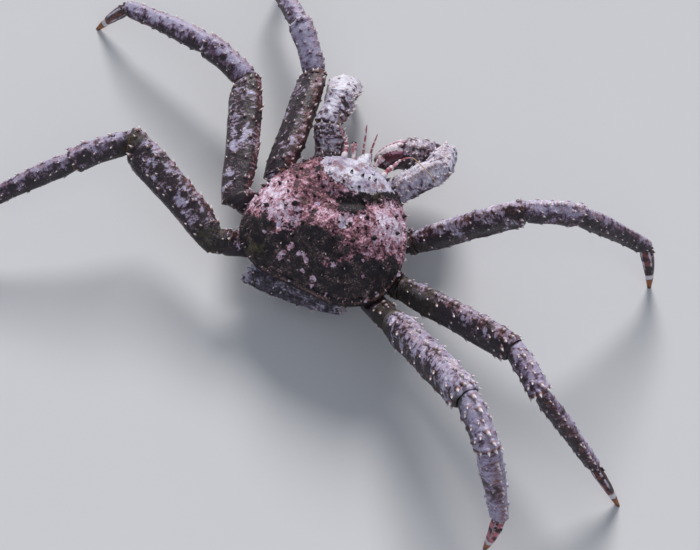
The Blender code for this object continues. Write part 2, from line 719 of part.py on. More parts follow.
class Segment:
    """An oval tube from one joint to the next, mitred at both."""

    def __init__(self, kind, start, end, start_plane, end_plane, crest, section):
        self.kind = kind
        self.axis = unit(end - start)
        self.start_plane = start_plane
        self.end_plane = end_plane
        self.start = start + self.axis * GAP / 2 / (self.axis @ start_plane)
        self.end = end - self.axis * GAP / 2 / (self.axis @ end_plane)
        self.crest = unit(crest - self.axis * (self.axis @ crest))
        self.thickness, self.height, self.taper = section

    def centre(self, share):
        """The middle of the tube at a share of its length."""
        bow = self.crest * BOWS[self.kind] * math.sin(math.pi * share)
        return self.start + (self.end - self.start) * share + bow

    def ring(self, share, turns):
        """Surface points at a share of the length, at turns from the crest."""
        near = (self.start_plane - self.axis) * (1 - share) ** MITRE_REACH
        far = (self.end_plane - self.axis) * share**MITRE_REACH
        fullness = through(share, PROFILES[self.kind]) * (1 + self.taper * (0.5 - share)) / 2
        sharp_start = (1 - self.axis @ self.start_plane) * (1 - share) ** 4
        sharp_end = (1 - self.axis @ self.end_plane) * share**4
        fullness *= 1 - BEND_NARROWING * (sharp_start + sharp_end)
        height, thickness = self.height * fullness, self.thickness * fullness
        plane = unit(self.axis + near + far)
        return oval(self.centre(share), self.axis, self.crest, plane, height, thickness, turns)

    def foot(self, share, turn):
        """A surface point and the outward direction there."""
        step = 0.01
        point = self.ring(share, np.array([turn]))[0]
        around = self.ring(share, np.array([turn + step]))[0] - point
        along = self.ring(share + step, np.array([turn]))[0] - point
        normal = unit(np.cross(around, along))
        outward = point - self.centre(share)
        return point, normal if normal @ outward > 0 else -normal

    def body(self, name):
        """The closed tube."""
        turns = np.arange(SIDES) * math.tau / SIDES
        return closed_object(name, [self.ring(share, turns) for share in RINGS[self.kind]])

    def spines(self, scale):
        """The rows of spines along the segment and round its far rim, leaning to its far end."""
        pieces = []
        for degrees, first, last, count, length in SPINE_ROWS.get(self.kind, ()):
            for share in np.linspace(first, last, count):
                share = share + DRAWS.uniform(-0.02, 0.02)
                turn = math.radians(degrees + DRAWS.uniform(-7, 7))
                size = scale * length * DRAWS.uniform(0.8, 1.15)
                pieces += self.spine_at(share, turn, SPINE_LEAN, size)
        share, angles, length = RIM_SPINES.get(self.kind, (0.0, (), 0.0))
        for degrees in angles:
            size = scale * length * DRAWS.uniform(0.85, 1.1)
            pieces += self.spine_at(share, math.radians(degrees), RIM_LEAN, size)
        return pieces

    def spine_at(self, share, turn, lean, length):
        """One spine there, or none where its tip would cross the plane of a joint."""
        point, normal = self.foot(share, turn)
        tip = point + unit(normal + lean * self.axis) * length
        past_end = (tip - self.end) @ self.end_plane
        past_start = (self.start - tip) @ self.start_plane
        if max(past_end, past_start) > -SPINE_CLEARANCE:
            return []
        return [spine(point, normal, lean * self.axis, length, length * SPINE_RADIUS)]


def limb_segments(limb, joints, kinds, crests, sections):
    """The segments of one limb, each joint's plane halving the bend there."""
    joints = [np.array(joint) for joint in joints]
    axes = [unit(b - a) for a, b in zip(joints, joints[1:])]
    segments = []
    for index, kind in enumerate(kinds):
        start_plane = unit(axes[index - 1] + axes[index]) if index else axes[0]
        last = index == len(kinds) - 1
        end_plane = axes[index] if last else unit(axes[index] + axes[index + 1])
        ends = joints[index], joints[index + 1]
        section = STOUT_SECTIONS.get((limb, kind), sections[kind])
        segments.append(Segment(kind, *ends, start_plane, end_plane, crests[index], section))
    return segments


def leg_crest(joints, roll):
    """The direction in which a leg's back faces, from the plane in which it bends and its roll."""
    joints = [np.array(joint) for joint in joints]
    axes = [unit(b - a) for a, b in zip(joints, joints[1:])]
    hinge = unit(sum(np.cross(axes[bend], axes[bend + 1]) for bend in LEG_BENDS))
    crests = [unit(np.cross(axis, hinge)) for axis in axes]
    cosine, sine = math.cos(math.radians(roll)), math.sin(math.radians(roll))
    return [cosine * crest + sine * np.cross(axis, crest) for axis, crest in zip(axes, crests)]


def stand_on_floor(body):
    """Cuts a tip off level with the floor and closes it."""
    shape = bmesh.new()
    shape.from_mesh(body.data)
    everything = shape.verts[:] + shape.edges[:] + shape.faces[:]
    cut = bmesh.ops.bisect_plane(
        shape,
        geom=everything,
        dist=1e-7,
        plane_co=(0.0, 0.0, 0.0),
        plane_no=UP,
        clear_inner=True,
    )
    rim = [part for part in cut["geom_cut"] if isinstance(part, bmesh.types.BMEdge)]
    bmesh.ops.contextual_create(shape, geom=rim)
    bmesh.ops.recalc_face_normals(shape, faces=shape.faces)
    shape.to_mesh(body.data)
    shape.free()


def build_segment(name, segment, scale):
    """One limb segment, with its spines."""
    body = segment.body(name)
    pieces = segment.spines(scale)
    combine(body, pieces, "UNION")
    if segment.kind == "base":
        combine(body, cutters(), "DIFFERENCE")
    if segment.kind == "dactyl":
        stand_on_floor(body)
    finish(body, "dactyl" if segment.kind == "dactyl" else "limb")


def build_legs():
    """Six walking legs, each of five segments."""
    for leg, joints in LEG_JOINTS.items():
        crests = leg_crest(joints, LEG_ROLLS.get(leg, 0.0))
        for segment in limb_segments(leg, joints, LEG_SEGMENTS, crests, SECTIONS["leg"]):
            build_segment(f"{leg}_{segment.kind}", segment, 1.0)


def finger_rings(palm, tip, side, sink):
    """Rings of a finger from the knuckle to near its tip; side is 1 over the hand's middle, -1 under."""
    turns = np.arange(FINGER_SIDES) * math.tau / FINGER_SIDES
    knuckle = palm.end + palm.axis * GAP
    reach = unit(tip - knuckle)
    rings = []
    for share in FINGER_SHARES:
        offset = through(share, FINGER_OFFSET) * palm.height * side
        centre = knuckle + (tip - knuckle) * share + palm.crest * offset
        plane = unit(palm.axis * (1 - share) + reach * share)
        crest = unit(palm.crest - plane * (plane @ palm.crest))
        height = through(share, FINGER_HEIGHT) * palm.height
        thickness = through(share, FINGER_THICKNESS) * palm.thickness
        rings.append(oval(centre, plane, crest, plane, height, thickness, turns))
    if sink:
        rings.insert(0, rings[0] - palm.axis * sink)
    return rings


def finger_tip(palm, tip, side):
    """The very tip of a finger."""
    return tip + palm.crest * through(1.0, FINGER_OFFSET) * palm.height * side


def build_claws():
    """Two claw arms, each of four segments and a movable finger."""
    for claw, joints in CLAW_JOINTS.items():
        crests = [np.array(CLAW_CRESTS[claw])] * len(CLAW_SEGMENTS)
        sections = SECTIONS[claw]
        *arm, palm = limb_segments(claw, joints[:-1], CLAW_SEGMENTS, crests, sections)
        for segment in arm:
            build_segment(f"{claw}_{segment.kind}", segment, 0.9)
        tip = np.array(joints[-1])
        hand = palm.body(f"{claw}_palm")
        rings = finger_rings(palm, tip, -1, FINGER_SINK)
        fixed = closed_object("fixed_finger", rings, last_pole=finger_tip(palm, tip, -1))
        combine(hand, [fixed] + palm.spines(1.0), "UNION")
        finish(hand, "limb")
        rings = finger_rings(palm, tip, 1, 0.0)
        finger = closed_object(f"{claw}_finger", rings, last_pole=finger_tip(palm, tip, 1))
        finish(finger, "limb")


# Head


def build_head_pieces():
    """Eyes, feelers and mouthparts: round tubes along their paths, parted from the body."""
    turns = np.arange(HEAD_SIDES) * math.tau / HEAD_SIDES
    for name, stations in HEAD_PIECES.items():
        path = np.array(stations)[:, :3]
        radii = np.array(stations)[:, 3]
        tangents = np.gradient(path, axis=0)
        crest = unit(np.cross(unit(tangents[0]), (1.0, 0.0, 0.0)))
        rings = []
        for centre, radius, tangent in zip(path, radii, tangents):
            axis = unit(tangent)
            crest = unit(crest - axis * (axis @ crest))
            rings.append(oval(centre, axis, crest, axis, radius, radius, turns))
        piece = closed_object(name, rings)
        combine(piece, cutters(), "DIFFERENCE")
        finish(piece, "eye" if name.startswith("eye") else "head")


def main():
    """Builds every piece of the crab."""
    clear_scene()
    build_carapace()
    build_thorax()
    build_abdomen()
    build_head_pieces()
    build_claws()
    build_legs()


main()
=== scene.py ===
"""Looks of the red king crab: a life-size, still model of an adult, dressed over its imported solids.

Metres, +Z up, floor at z = 0. Shapes are worked out in the crab's own frame, where the head points
along -Y and the right side lies along -X, and are then moved by BODY_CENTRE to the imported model.
Tables of places are in millimetres, because that is how they were measured.
"""

from __future__ import annotations

import logging
import math
from dataclasses import dataclass, field
from enum import Enum

import bpy
import numpy as np
from mathutils import Matrix, Vector


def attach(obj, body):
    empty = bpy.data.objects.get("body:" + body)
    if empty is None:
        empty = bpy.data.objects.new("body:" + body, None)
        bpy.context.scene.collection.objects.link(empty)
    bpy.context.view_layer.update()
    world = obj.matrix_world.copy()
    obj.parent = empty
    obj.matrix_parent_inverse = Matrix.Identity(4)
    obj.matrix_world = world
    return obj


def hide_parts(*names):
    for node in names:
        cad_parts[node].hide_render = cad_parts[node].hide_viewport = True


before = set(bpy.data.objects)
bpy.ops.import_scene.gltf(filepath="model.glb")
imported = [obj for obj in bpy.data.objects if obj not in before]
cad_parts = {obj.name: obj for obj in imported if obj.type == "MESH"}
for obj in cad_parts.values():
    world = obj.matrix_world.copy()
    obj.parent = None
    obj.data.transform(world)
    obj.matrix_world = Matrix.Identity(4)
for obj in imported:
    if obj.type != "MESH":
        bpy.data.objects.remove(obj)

LOG = logging.getLogger("red_king_crab")
Array = np.ndarray
Row = tuple[float, ...]
Knots = tuple[tuple[float, float], ...]

MM = 0.001
GAP = 0.3 * MM
BODY_CENTRE = np.array((0.0085, 0.0505, 0.0))
UP = np.array((0.0, 0.0, 1.0))
# Direction of the key light, up and towards the head, in the crab's frame: the finishes paint surfaces that
# face it paler and those that face away darker, as painted light and shade
SUNNY = np.array((0.36, -0.76, 0.54))


def unit(vectors: Array) -> Array:
    """Vectors at length one along the last axis."""
    vectors = np.asarray(vectors, float)
    return vectors / np.maximum(np.linalg.norm(vectors, axis=-1, keepdims=True), 1e-12)


def smooth(values: Array, low: float, high: float) -> Array:
    """Values eased from 0 at low to 1 at high: 3t^2 - 2t^3."""
    t = np.clip((values - low) / (high - low), 0.0, 1.0)
    return t * t * (3 - 2 * t)


def bell(values: Array, middle: float, width: float) -> Array:
    """exp(-((values - middle) / width)^2)."""
    return np.exp(-(((values - middle) / width) ** 2))

def window(values: Array, rise: tuple[float, float], fall: tuple[float, float]) -> Array:
    """Values eased up over one stretch, given as its low and high end, and down over another."""
    return smooth(values, *rise) * (1 - smooth(values, *fall))


def ring(count: int) -> Array:
    """Turns once round, in radians, evenly spread from 0."""
    return np.linspace(0.0, math.tau, count, endpoint=False)


def through(places: Array, knots: Knots) -> Array:
    """Reads a smooth curve through knots: a cubic in each span, with slopes from its neighbours.

    Args:
        places: Where to read, an array of any shape.
        knots: (place, value) pairs in rising order.

    Returns:
        The values, in the shape of places.
    """
    at, values = np.array(knots, float).T
    slopes = np.gradient(values, at)
    places = np.clip(places, at[0], at[-1])
    left = np.clip(np.searchsorted(at, places, side="right") - 1, 0, len(at) - 2)
    width = at[left + 1] - at[left]
    s = (places - at[left]) / width
    rise = values[left + 1] - values[left]
    bend_left = slopes[left] * width - rise
    bend_right = rise - slopes[left + 1] * width
    return values[left] + rise * s + s * (1 - s) * (bend_left * (1 - s) + bend_right * s)


# Large odd numbers that scatter a cell's bits, and the highest number that they give
HASH_FACTORS = (73856093, 19349663, 83492791)
HASH_SEED, HASH_MIX, HASH_RANGE = 2654435761, 1274126177, 0xFFFFFF


def lattice(cells: Array, seed: int) -> Array:
    """Numbers from 0 to 1 for whole-number cells, by mixing their bits.

    Args:
        cells: Whole numbers, (..., 3).
        seed: Which set of numbers.

    Returns:
        One number a cell.
    """
    mixed = np.bitwise_xor.reduce(cells.astype(np.int64) * HASH_FACTORS, axis=-1) ^ (seed * HASH_SEED)
    mixed = (mixed ^ (mixed >> 13)) * HASH_MIX
    mixed ^= mixed >> 16
    return (mixed & HASH_RANGE) / HASH_RANGE


def noise(points: Array, size: float, seed: int) -> Array:
    """Smooth noise from -1 to 1: random numbers at the corners of a lattice, blended by eased shares.

    Args:
        points: Places, (..., 3).
        size: Spacing of the lattice.
        seed: Which noise.

    Returns:
        One value a point.
    """
    scaled = points / size
    cell = np.floor(scaled)
    share = scaled - cell
    share = share * share * (3 - 2 * share)
    total = 0.0
    for corner in np.ndindex(2, 2, 2):
        weight = np.prod(np.where(corner, share, 1 - share), axis=-1)
        total = total + weight * lattice(cell + corner, seed)
    return 2 * total - 1


def fractal(points: Array, size: float, octaves: int, seed: int) -> Array:
    """Layers of noise, each half the size and half the strength of the one before."""
    layers = [noise(points, size / 2**i, seed + i) / 2**i for i in range(octaves)]
    return sum(layers) / (2 - 2 ** (1 - octaves))


# How far a grain strays from its cell's middle, and the square of how far it reaches, in cells
GRAIN_STRAY, GRAIN_REACH = 0.4, 0.55


def pebbles(points: Array, size: float, seed: int) -> Array:
    """Rounded grains: 1 at the nearest of the scattered seeds, one to a lattice cell, and 0 far away.

    Args:
        points: Places, (..., 3).
        size: Spacing of the lattice.
        seed: Which grains.

    Returns:
        One value a point.
    """
    scaled = points / size
    cell = np.floor(scaled)
    nearest = np.full(points.shape[:-1], np.inf)
    for corner in np.ndindex(3, 3, 3):
        home = cell + np.array(corner) - 1
        stray = np.stack([2 * lattice(home, seed + i) - 1 for i in range(3)], axis=-1)
        spot = home + 0.5 + GRAIN_STRAY * stray
        nearest = np.minimum(nearest, np.sum((scaled - spot) ** 2, axis=-1))
    return np.clip(1 - nearest / GRAIN_REACH, 0.0, 1.0)


def blots(x: Array, y: Array, places: tuple[Row, ...]) -> Array:
    """How far inside a set of ellipses each point lies: 1 at a centre, 0.5 on an edge, 0 well outside.

    Args:
        x: Places along x.
        y: Places along y.
        places: Ellipses as centre x and y and radius along x and y, in millimetres.

    Returns:
        The highest value over the ellipses.
    """
    found = np.zeros(np.shape(x))
    for centre_x, centre_y, radius_x, radius_y in places:
        reach = np.hypot((x / MM - centre_x) / radius_x, (y / MM - centre_y) / radius_y)
        found = np.maximum(found, np.clip(1 - 0.5 * reach, 0.0, 1.0))
    return found


# How far an outline's edge reaches to each side, in millimetres
EDGE_REACH = 7.0


def within(x: Array, y: Array, outline: Knots) -> Array:
    """How far inside an outline each point lies: 0.5 on it, 1 at 7 mm inside, 0 at 7 mm outside.

    The distance is to the nearest side, and a point is inside where a line from it crosses an odd
    number of sides.

    Args:
        x: Places along x.
        y: Places along y.
        outline: Corners in millimetres.

    Returns:
        One value a point.
    """
    x, y = x / MM, y / MM
    nearest, odd = np.full(x.shape, 1e9), np.zeros(x.shape, bool)
    for (x0, y0), (x1, y1) in zip(outline, outline[1:] + outline[:1]):
        run, rise = x1 - x0, y1 - y0
        share = np.clip(((x - x0) * run + (y - y0) * rise) / (run**2 + rise**2), 0, 1)
        nearest = np.minimum(nearest, np.hypot(x - x0 - share * run, y - y0 - share * rise))
        odd ^= ((y0 > y) != (y1 > y)) & (x < run * (y - y0) / (rise or 1.0) + x0)
    return np.clip(0.5 + np.where(odd, nearest, -nearest) / (2 * EDGE_REACH), 0.0, 1.0)


# Beyond this many radii a swelling is too low to count
KNOLL_REACH = 2.5


def knolls(points: Array, feet: Array, radii: Array) -> Array:
    """Rounded swellings: the highest of exp(-(distance / radius)^2) over the feet, at each point.

    Args:
        points: Places, (n, 3).
        feet: Middles of the swellings, (m, 3).
        radii: Their radii, (m,).

    Returns:
        One value a point.
    """
    found = np.zeros(len(points))
    for foot, radius in zip(feet, radii):
        near = np.flatnonzero(np.abs(points - foot).max(axis=1) < KNOLL_REACH * radius)
        away = np.sum((points[near] - foot) ** 2, axis=1) / radius**2
        found[near] = np.maximum(found[near], np.exp(-away))
    return found


@dataclass
class Skin:
    """A sheet of mesh in the crab's frame, with named values at its points."""

    points: Array
    quads: Array
    triangles: Array
    values: dict[str, Array] = field(default_factory=dict)

    def normals(self) -> Array:
        """Outward directions at the points: the sum of the crossed diagonals of the faces around each.

        Returns:
            Unit vectors, (n, 3).
        """
        total = np.zeros_like(self.points)
        for faces in (self.quads, self.triangles):
            if not len(faces):
                continue
            corners = self.points[faces]
            last = corners[:, 3] if faces.shape[1] == 4 else corners[:, 0]
            across = np.cross(corners[:, 2] - corners[:, 0], last - corners[:, 1])
            for axis in range(3):
                weights = np.repeat(across[:, axis], faces.shape[1])
                total[:, axis] += np.bincount(faces.ravel(), weights, len(self.points))
        return unit(total)

    def facing_out(self) -> Skin:
        """Turns the faces of a closed skin outwards, if they enclose a negative volume.

        Returns:
            The same skin.
        """
        halves = self.quads[:, :3], self.quads[:, [0, 2, 3]], self.triangles
        middle = self.points.mean(axis=0)
        if sum(np.linalg.det(self.points[half] - middle).sum() for half in halves) < 0:
            self.quads, self.triangles = self.quads[:, ::-1], self.triangles[:, ::-1]
        return self

    def swell(self, amount: Array) -> Skin:
        """The same skin with its points moved along their normals."""
        self.points = self.points + self.normals() * amount[:, None]
        return self

    def piece(self, name: str, finish: Finish, node: str, slot: str) -> None:
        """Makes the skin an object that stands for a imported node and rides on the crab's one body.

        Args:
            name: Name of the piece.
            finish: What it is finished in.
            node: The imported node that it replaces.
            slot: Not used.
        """
        # lit: how far each point faces the key light; the finishes read it to paint light and shade
        self.values["lit"] = self.normals() @ SUNNY
        made = self.shown(name, self.points + BODY_CENTRE)
        made.data.materials.append(finish.material())
        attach(made, "root")
        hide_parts(node)
        LOG.info("%s: %d faces", name, len(made.data.polygons))

    def shown(self, name: str, points: Array) -> bpy.types.Object:
        """A smoothly shaded object with the skin's faces and values.

        Args:
            name: Name of the object.
            points: Where its points lie, (n, 3).

        Returns:
            The object, in the scene.
        """
        mesh = bpy.data.meshes.new(name)
        mesh.from_pydata(points, [], [*self.quads.tolist(), *self.triangles.tolist()])
        for key, values in self.values.items():
            kind, slot = ("FLOAT", "value") if values.ndim == 1 else ("FLOAT_VECTOR", "vector")
            mesh.attributes.new(key, kind, "POINT").data.foreach_set(slot, values.astype(np.float32).ravel())
        mesh.shade_smooth()
        made = bpy.data.objects.new(name, mesh)
        bpy.context.scene.collection.objects.link(made)
        return made


def joined(skins: list[Skin]) -> Skin:
    """Several skins as one; a value that a skin lacks is 0 there.

    Args:
        skins: The skins.

    Returns:
        The joined skin.
    """
    starts = np.cumsum([0] + [len(skin.points) for skin in skins])
    shapes = {key: found.shape[1:] for skin in skins for key, found in skin.values.items()}
    return Skin(
        np.concatenate([skin.points for skin in skins]),
        np.concatenate([skin.quads + start for skin, start in zip(skins, starts)]),
        np.concatenate([skin.triangles + start for skin, start in zip(skins, starts)]),
        {
            key: np.concatenate([s.values.get(key, np.zeros((len(s.points), *shape))) for s in skins])
            for key, shape in shapes.items()
        },
    )


def wrapped(count: int, around: int) -> tuple[Array, Array]:
    """Faces of a closed tube: quads from ring to ring, and a fan at each end to a point after the rings.

    Args:
        count: How many rings.
        around: Points in a ring.

    Returns:
        The quads and the triangles.
    """
    level = (np.arange(count - 1) * around)[:, None]
    here = np.arange(around)
    ahead = (here + 1) % around
    total, top = count * around, (count - 1) * around
    quads = np.stack([level + here, level + ahead, level + around + ahead, level + around + here], axis=-1)
    first = np.stack([ahead, here, np.full(around, total)], axis=-1)
    last = np.stack([top + here, top + ahead, np.full(around, total + 1)], axis=-1)
    return quads.reshape(-1, 4), np.concatenate([first, last])


def tube(rings: Array, values: dict[str, Array] | None = None) -> Skin:
    """A closed tube: rings of points joined by quads, with a fan at each end to the ring's middle.

    Args:
        rings: Points, (rings, points round, 3).
        values: Arrays that broadcast to (rings, points round).

    Returns:
        The skin, facing outwards.
    """
    points = np.concatenate([rings.reshape(-1, 3), rings[:1].mean(axis=1), rings[-1:].mean(axis=1)])
    spread = {}
    for key, found in (values or {}).items():
        flat = np.broadcast_to(found, rings.shape[:2])
        spread[key] = np.concatenate([flat.ravel(), flat[:1, 0], flat[-1:, 0]])
    return Skin(points, *wrapped(*rings.shape[:2]), spread).facing_out()


# Rings of a spine, as shares of its length and of its radius
SPINE_STATIONS = ((-0.25, 1.25), (0.0, 1.08), (0.2, 0.8), (0.48, 0.5), (0.76, 0.26), (0.93, 0.12))
SPINE_SIDES = 7


def spines(feet: Array, directions: Array, bends: Array, lengths: Array, radii: Array) -> Skin:
    """Many spines at once: cones with a flared root, along a path foot + d*s*L + bend*(s*L)*s.

    Args:
        feet: Where each leaves the surface, (n, 3).
        directions: Unit direction of each, (n, 3).
        bends: Sideways pull of each tip as a share of its length, (n, 3).
        lengths: Length of each.
        radii: Radius of each at its foot.

    Returns:
        One skin with "tip" running from 0 at a root to 1 at a tip.
    """
    count = len(feet)
    shares, widths = np.array(SPINE_STATIONS).T
    across = unit(np.cross(directions, UP + 0.31 * directions[:, ::-1]))
    over = np.cross(directions, across)
    turns = ring(SPINE_SIDES)[:, None]
    spokes = np.cos(turns) * across[:, None] + np.sin(turns) * over[:, None]
    reach = shares[None, :] * lengths[:, None]
    line = feet[:, None] + reach[..., None] * directions[:, None]
    line = line + (reach * np.clip(shares, 0, 1))[..., None] * bends[:, None]
    rings = line[:, :, None] + (radii[:, None] * widths)[:, :, None, None] * spokes[:, None]
    tips = feet + lengths[:, None] * (directions + bends)
    points = np.concatenate([rings.reshape(count, -1, 3), line[:, :1], tips[:, None]], axis=1)
    quads, fans = wrapped(len(shares), SPINE_SIDES)
    offsets = (np.arange(count) * points.shape[1])[:, None, None]
    tip = np.concatenate([np.repeat(np.clip(shares, 0, 1), SPINE_SIDES), (0.0, 1.0)])
    return Skin(
        points.reshape(-1, 3),
        (quads + offsets).reshape(-1, 4),
        (fans + offsets).reshape(-1, 3),
        {"tip": np.tile(tip, count)},
    ).facing_out()


# Shader tools


class Term:
    """A socket of numbers that takes part in sums written in Python."""

    def __init__(self, graph: Graph, socket: bpy.types.NodeSocket) -> None:
        """Wraps a socket of a graph."""
        self.graph = graph
        self.socket = socket

    def math(self, operation: str, first: Term | float, second: Term | float = 0.0) -> Term:
        """One Math node over two numbers."""
        return self.graph.term("ShaderNodeMath", {"operation": operation}, {0: first, 1: second})

    def __add__(self, other: Term | float) -> Term:
        """The sum."""
        return self.math("ADD", self, other)

    __radd__ = __add__

    def __mul__(self, other: Term | float) -> Term:
        """The product."""
        return self.math("MULTIPLY", self, other)

    __rmul__ = __mul__

    def __sub__(self, other: Term | float) -> Term:
        """The difference."""
        return self.math("SUBTRACT", self, other)

    def __rsub__(self, other: Term | float) -> Term:
        """The difference the other way round."""
        return self.math("SUBTRACT", other, self)

    def ridge(self) -> Term:
        """1 where noise is at its middle, 0.5, and falling off to both sides: crests in curls."""
        return 1 - self.math("ABSOLUTE", self - 0.5) * 8.0

    def step(self, low: float, high: float) -> Term:
        """Eased from 0 at low to 1 at high."""
        values = {"Value": self, "From Min": low, "From Max": high}
        return self.graph.term("ShaderNodeMapRange", {"interpolation_type": "SMOOTHSTEP"}, values)


Colour = tuple[float, float, float]
Paint = bpy.types.NodeSocket | Colour
Stops = tuple[tuple[float, Colour], ...]


class Graph:
    """The node tree of one material, with the colour that its coats have come to."""

    def __init__(self, name: str) -> None:
        """Starts a material with an empty Principled shader.

        Args:
            name: Name of the material.
        """
        self.material = bpy.data.materials.new(name)
        self.material.use_nodes = True
        self.tree = self.material.node_tree
        self.shader = self.tree.nodes["Principled BSDF"]
        self.place = self.node("ShaderNodeTexCoord").outputs["Object"]
        self.colour: Paint = (0.0, 0.0, 0.0)

    def node(self, kind: str, settings: dict | None = None, values: dict | None = None) -> bpy.types.Node:
        """Adds a node.

        Args:
            kind: The node's type.
            settings: Properties, set first; "stops" holds a ramp's places and colours.
            values: A number, colour, Term or socket for each input.

        Returns:
            The node.
        """
        made = self.tree.nodes.new(kind)
        for key, setting in (settings or {}).items():
            if key != "stops":
                setattr(made, key, setting)
                continue
            elements = made.color_ramp.elements
            for place, colour in setting[1:-1]:
                elements.new(place).color = (*colour, 1.0)
            for element, (place, colour) in ((elements[0], setting[0]), (elements[-1], setting[-1])):
                element.position, element.color = place, (*colour, 1.0)
        for key, value in (values or {}).items():
            self.feed(made.inputs[key], value)
        return made

    def feed(self, socket: bpy.types.NodeSocket, value: Term | Paint | float) -> None:
        """Links or sets an input.

        Args:
            socket: The input.
            value: What it takes.
        """
        value = value.socket if isinstance(value, Term) else value
        if isinstance(value, bpy.types.NodeSocket):
            self.tree.links.new(value, socket)
        elif isinstance(value, tuple) and socket.type == "RGBA":
            socket.default_value = (*value, 1.0)
        else:
            socket.default_value = value

    def term(self, kind: str, settings: dict | None, values: dict | None, output: str | int = 0) -> Term:
        """The number that a new node gives."""
        return Term(self, self.node(kind, settings, values).outputs[output])

    def value(self, name: str) -> Term:
        """One of the piece's own numbers."""
        return self.term("ShaderNodeAttribute", {"attribute_name": name}, None, "Fac")

    def cloud(
        self, size: float, detail: float = 4.0, rough: float = 0.55, twist: float = 0.0, weave: bool = False
    ) -> Term:
        """Fractal noise whose largest forms are size metres across.

        Args:
            size: Size of the largest forms.
            detail: How many finer layers.
            rough: Strength of each layer against the one before.
            twist: How far it is swirled.
            weave: Whether it follows the limb, squeezed along it.

        Returns:
            Noise about 0.5.
        """
        along = {"attribute_name": "weave"}
        place = self.node("ShaderNodeAttribute", along).outputs["Vector"] if weave else self.place
        values = {"Vector": place, "Scale": 1 / size, "Detail": detail, "Roughness": rough}
        return self.term("ShaderNodeTexNoise", None, values | {"Distortion": twist})

    def grains(self, size: float, jitter: float = 1.0) -> Term:
        """Distance from the nearest of the scattered cell centres, size metres apart."""
        values = {"Vector": self.place, "Scale": 1 / size, "Randomness": jitter}
        return self.term("ShaderNodeTexVoronoi", None, values)

    def mix(self, share: Term | float, low: Paint, high: Paint) -> bpy.types.NodeSocket:
        """A colour between two, by share."""
        return self.node("ShaderNodeMix", {"data_type": "RGBA"}, {0: share, 6: low, 7: high}).outputs[2]

    def coat(self, share: Term | float, colour: Paint) -> None:
        """Lays a colour over the coats before it, by share."""
        self.colour = self.mix(share, self.colour, colour)

    def ramp(self, share: Term, stops: Stops) -> bpy.types.NodeSocket:
        """A colour read off a scale."""
        return self.node("ShaderNodeValToRGB", {"stops": stops}, {0: share}).outputs[0]

    def dress(self, roughness: Term | float, height: Term, depth: float, specular: float = 0.4) -> None:
        """Feeds the shader the coats' colour, its roughness and, through a Bump node, its relief.

        Args:
            roughness: From 0 to 1.
            height: The relief's height, from 0 to about 1.
            depth: What a height of 1 stands for, in metres.
            specular: Strength of the reflection.
        """
        bump = self.node("ShaderNodeBump", None, {"Height": height, "Distance": depth, "Strength": 1.0})
        fed = {"Base Color": self.colour, "Roughness": roughness, "Specular IOR Level": specular}
        for key, value in (fed | {"Normal": bump.outputs[0]}).items():
            self.feed(self.shader.inputs[key], value)


@dataclass(frozen=True)
class Finish:
    """What a piece is finished in."""

    name: str

    def material(self) -> bpy.types.Material:
        """The finish's material, made once.

        Returns:
            The material.
        """
        if self.name not in bpy.data.materials:
            self.paint(Graph(self.name))
        return bpy.data.materials[self.name]

    def paint(self, graph: Graph) -> None:
        """Builds the nodes; each finish has its own."""
        raise NotImplementedError


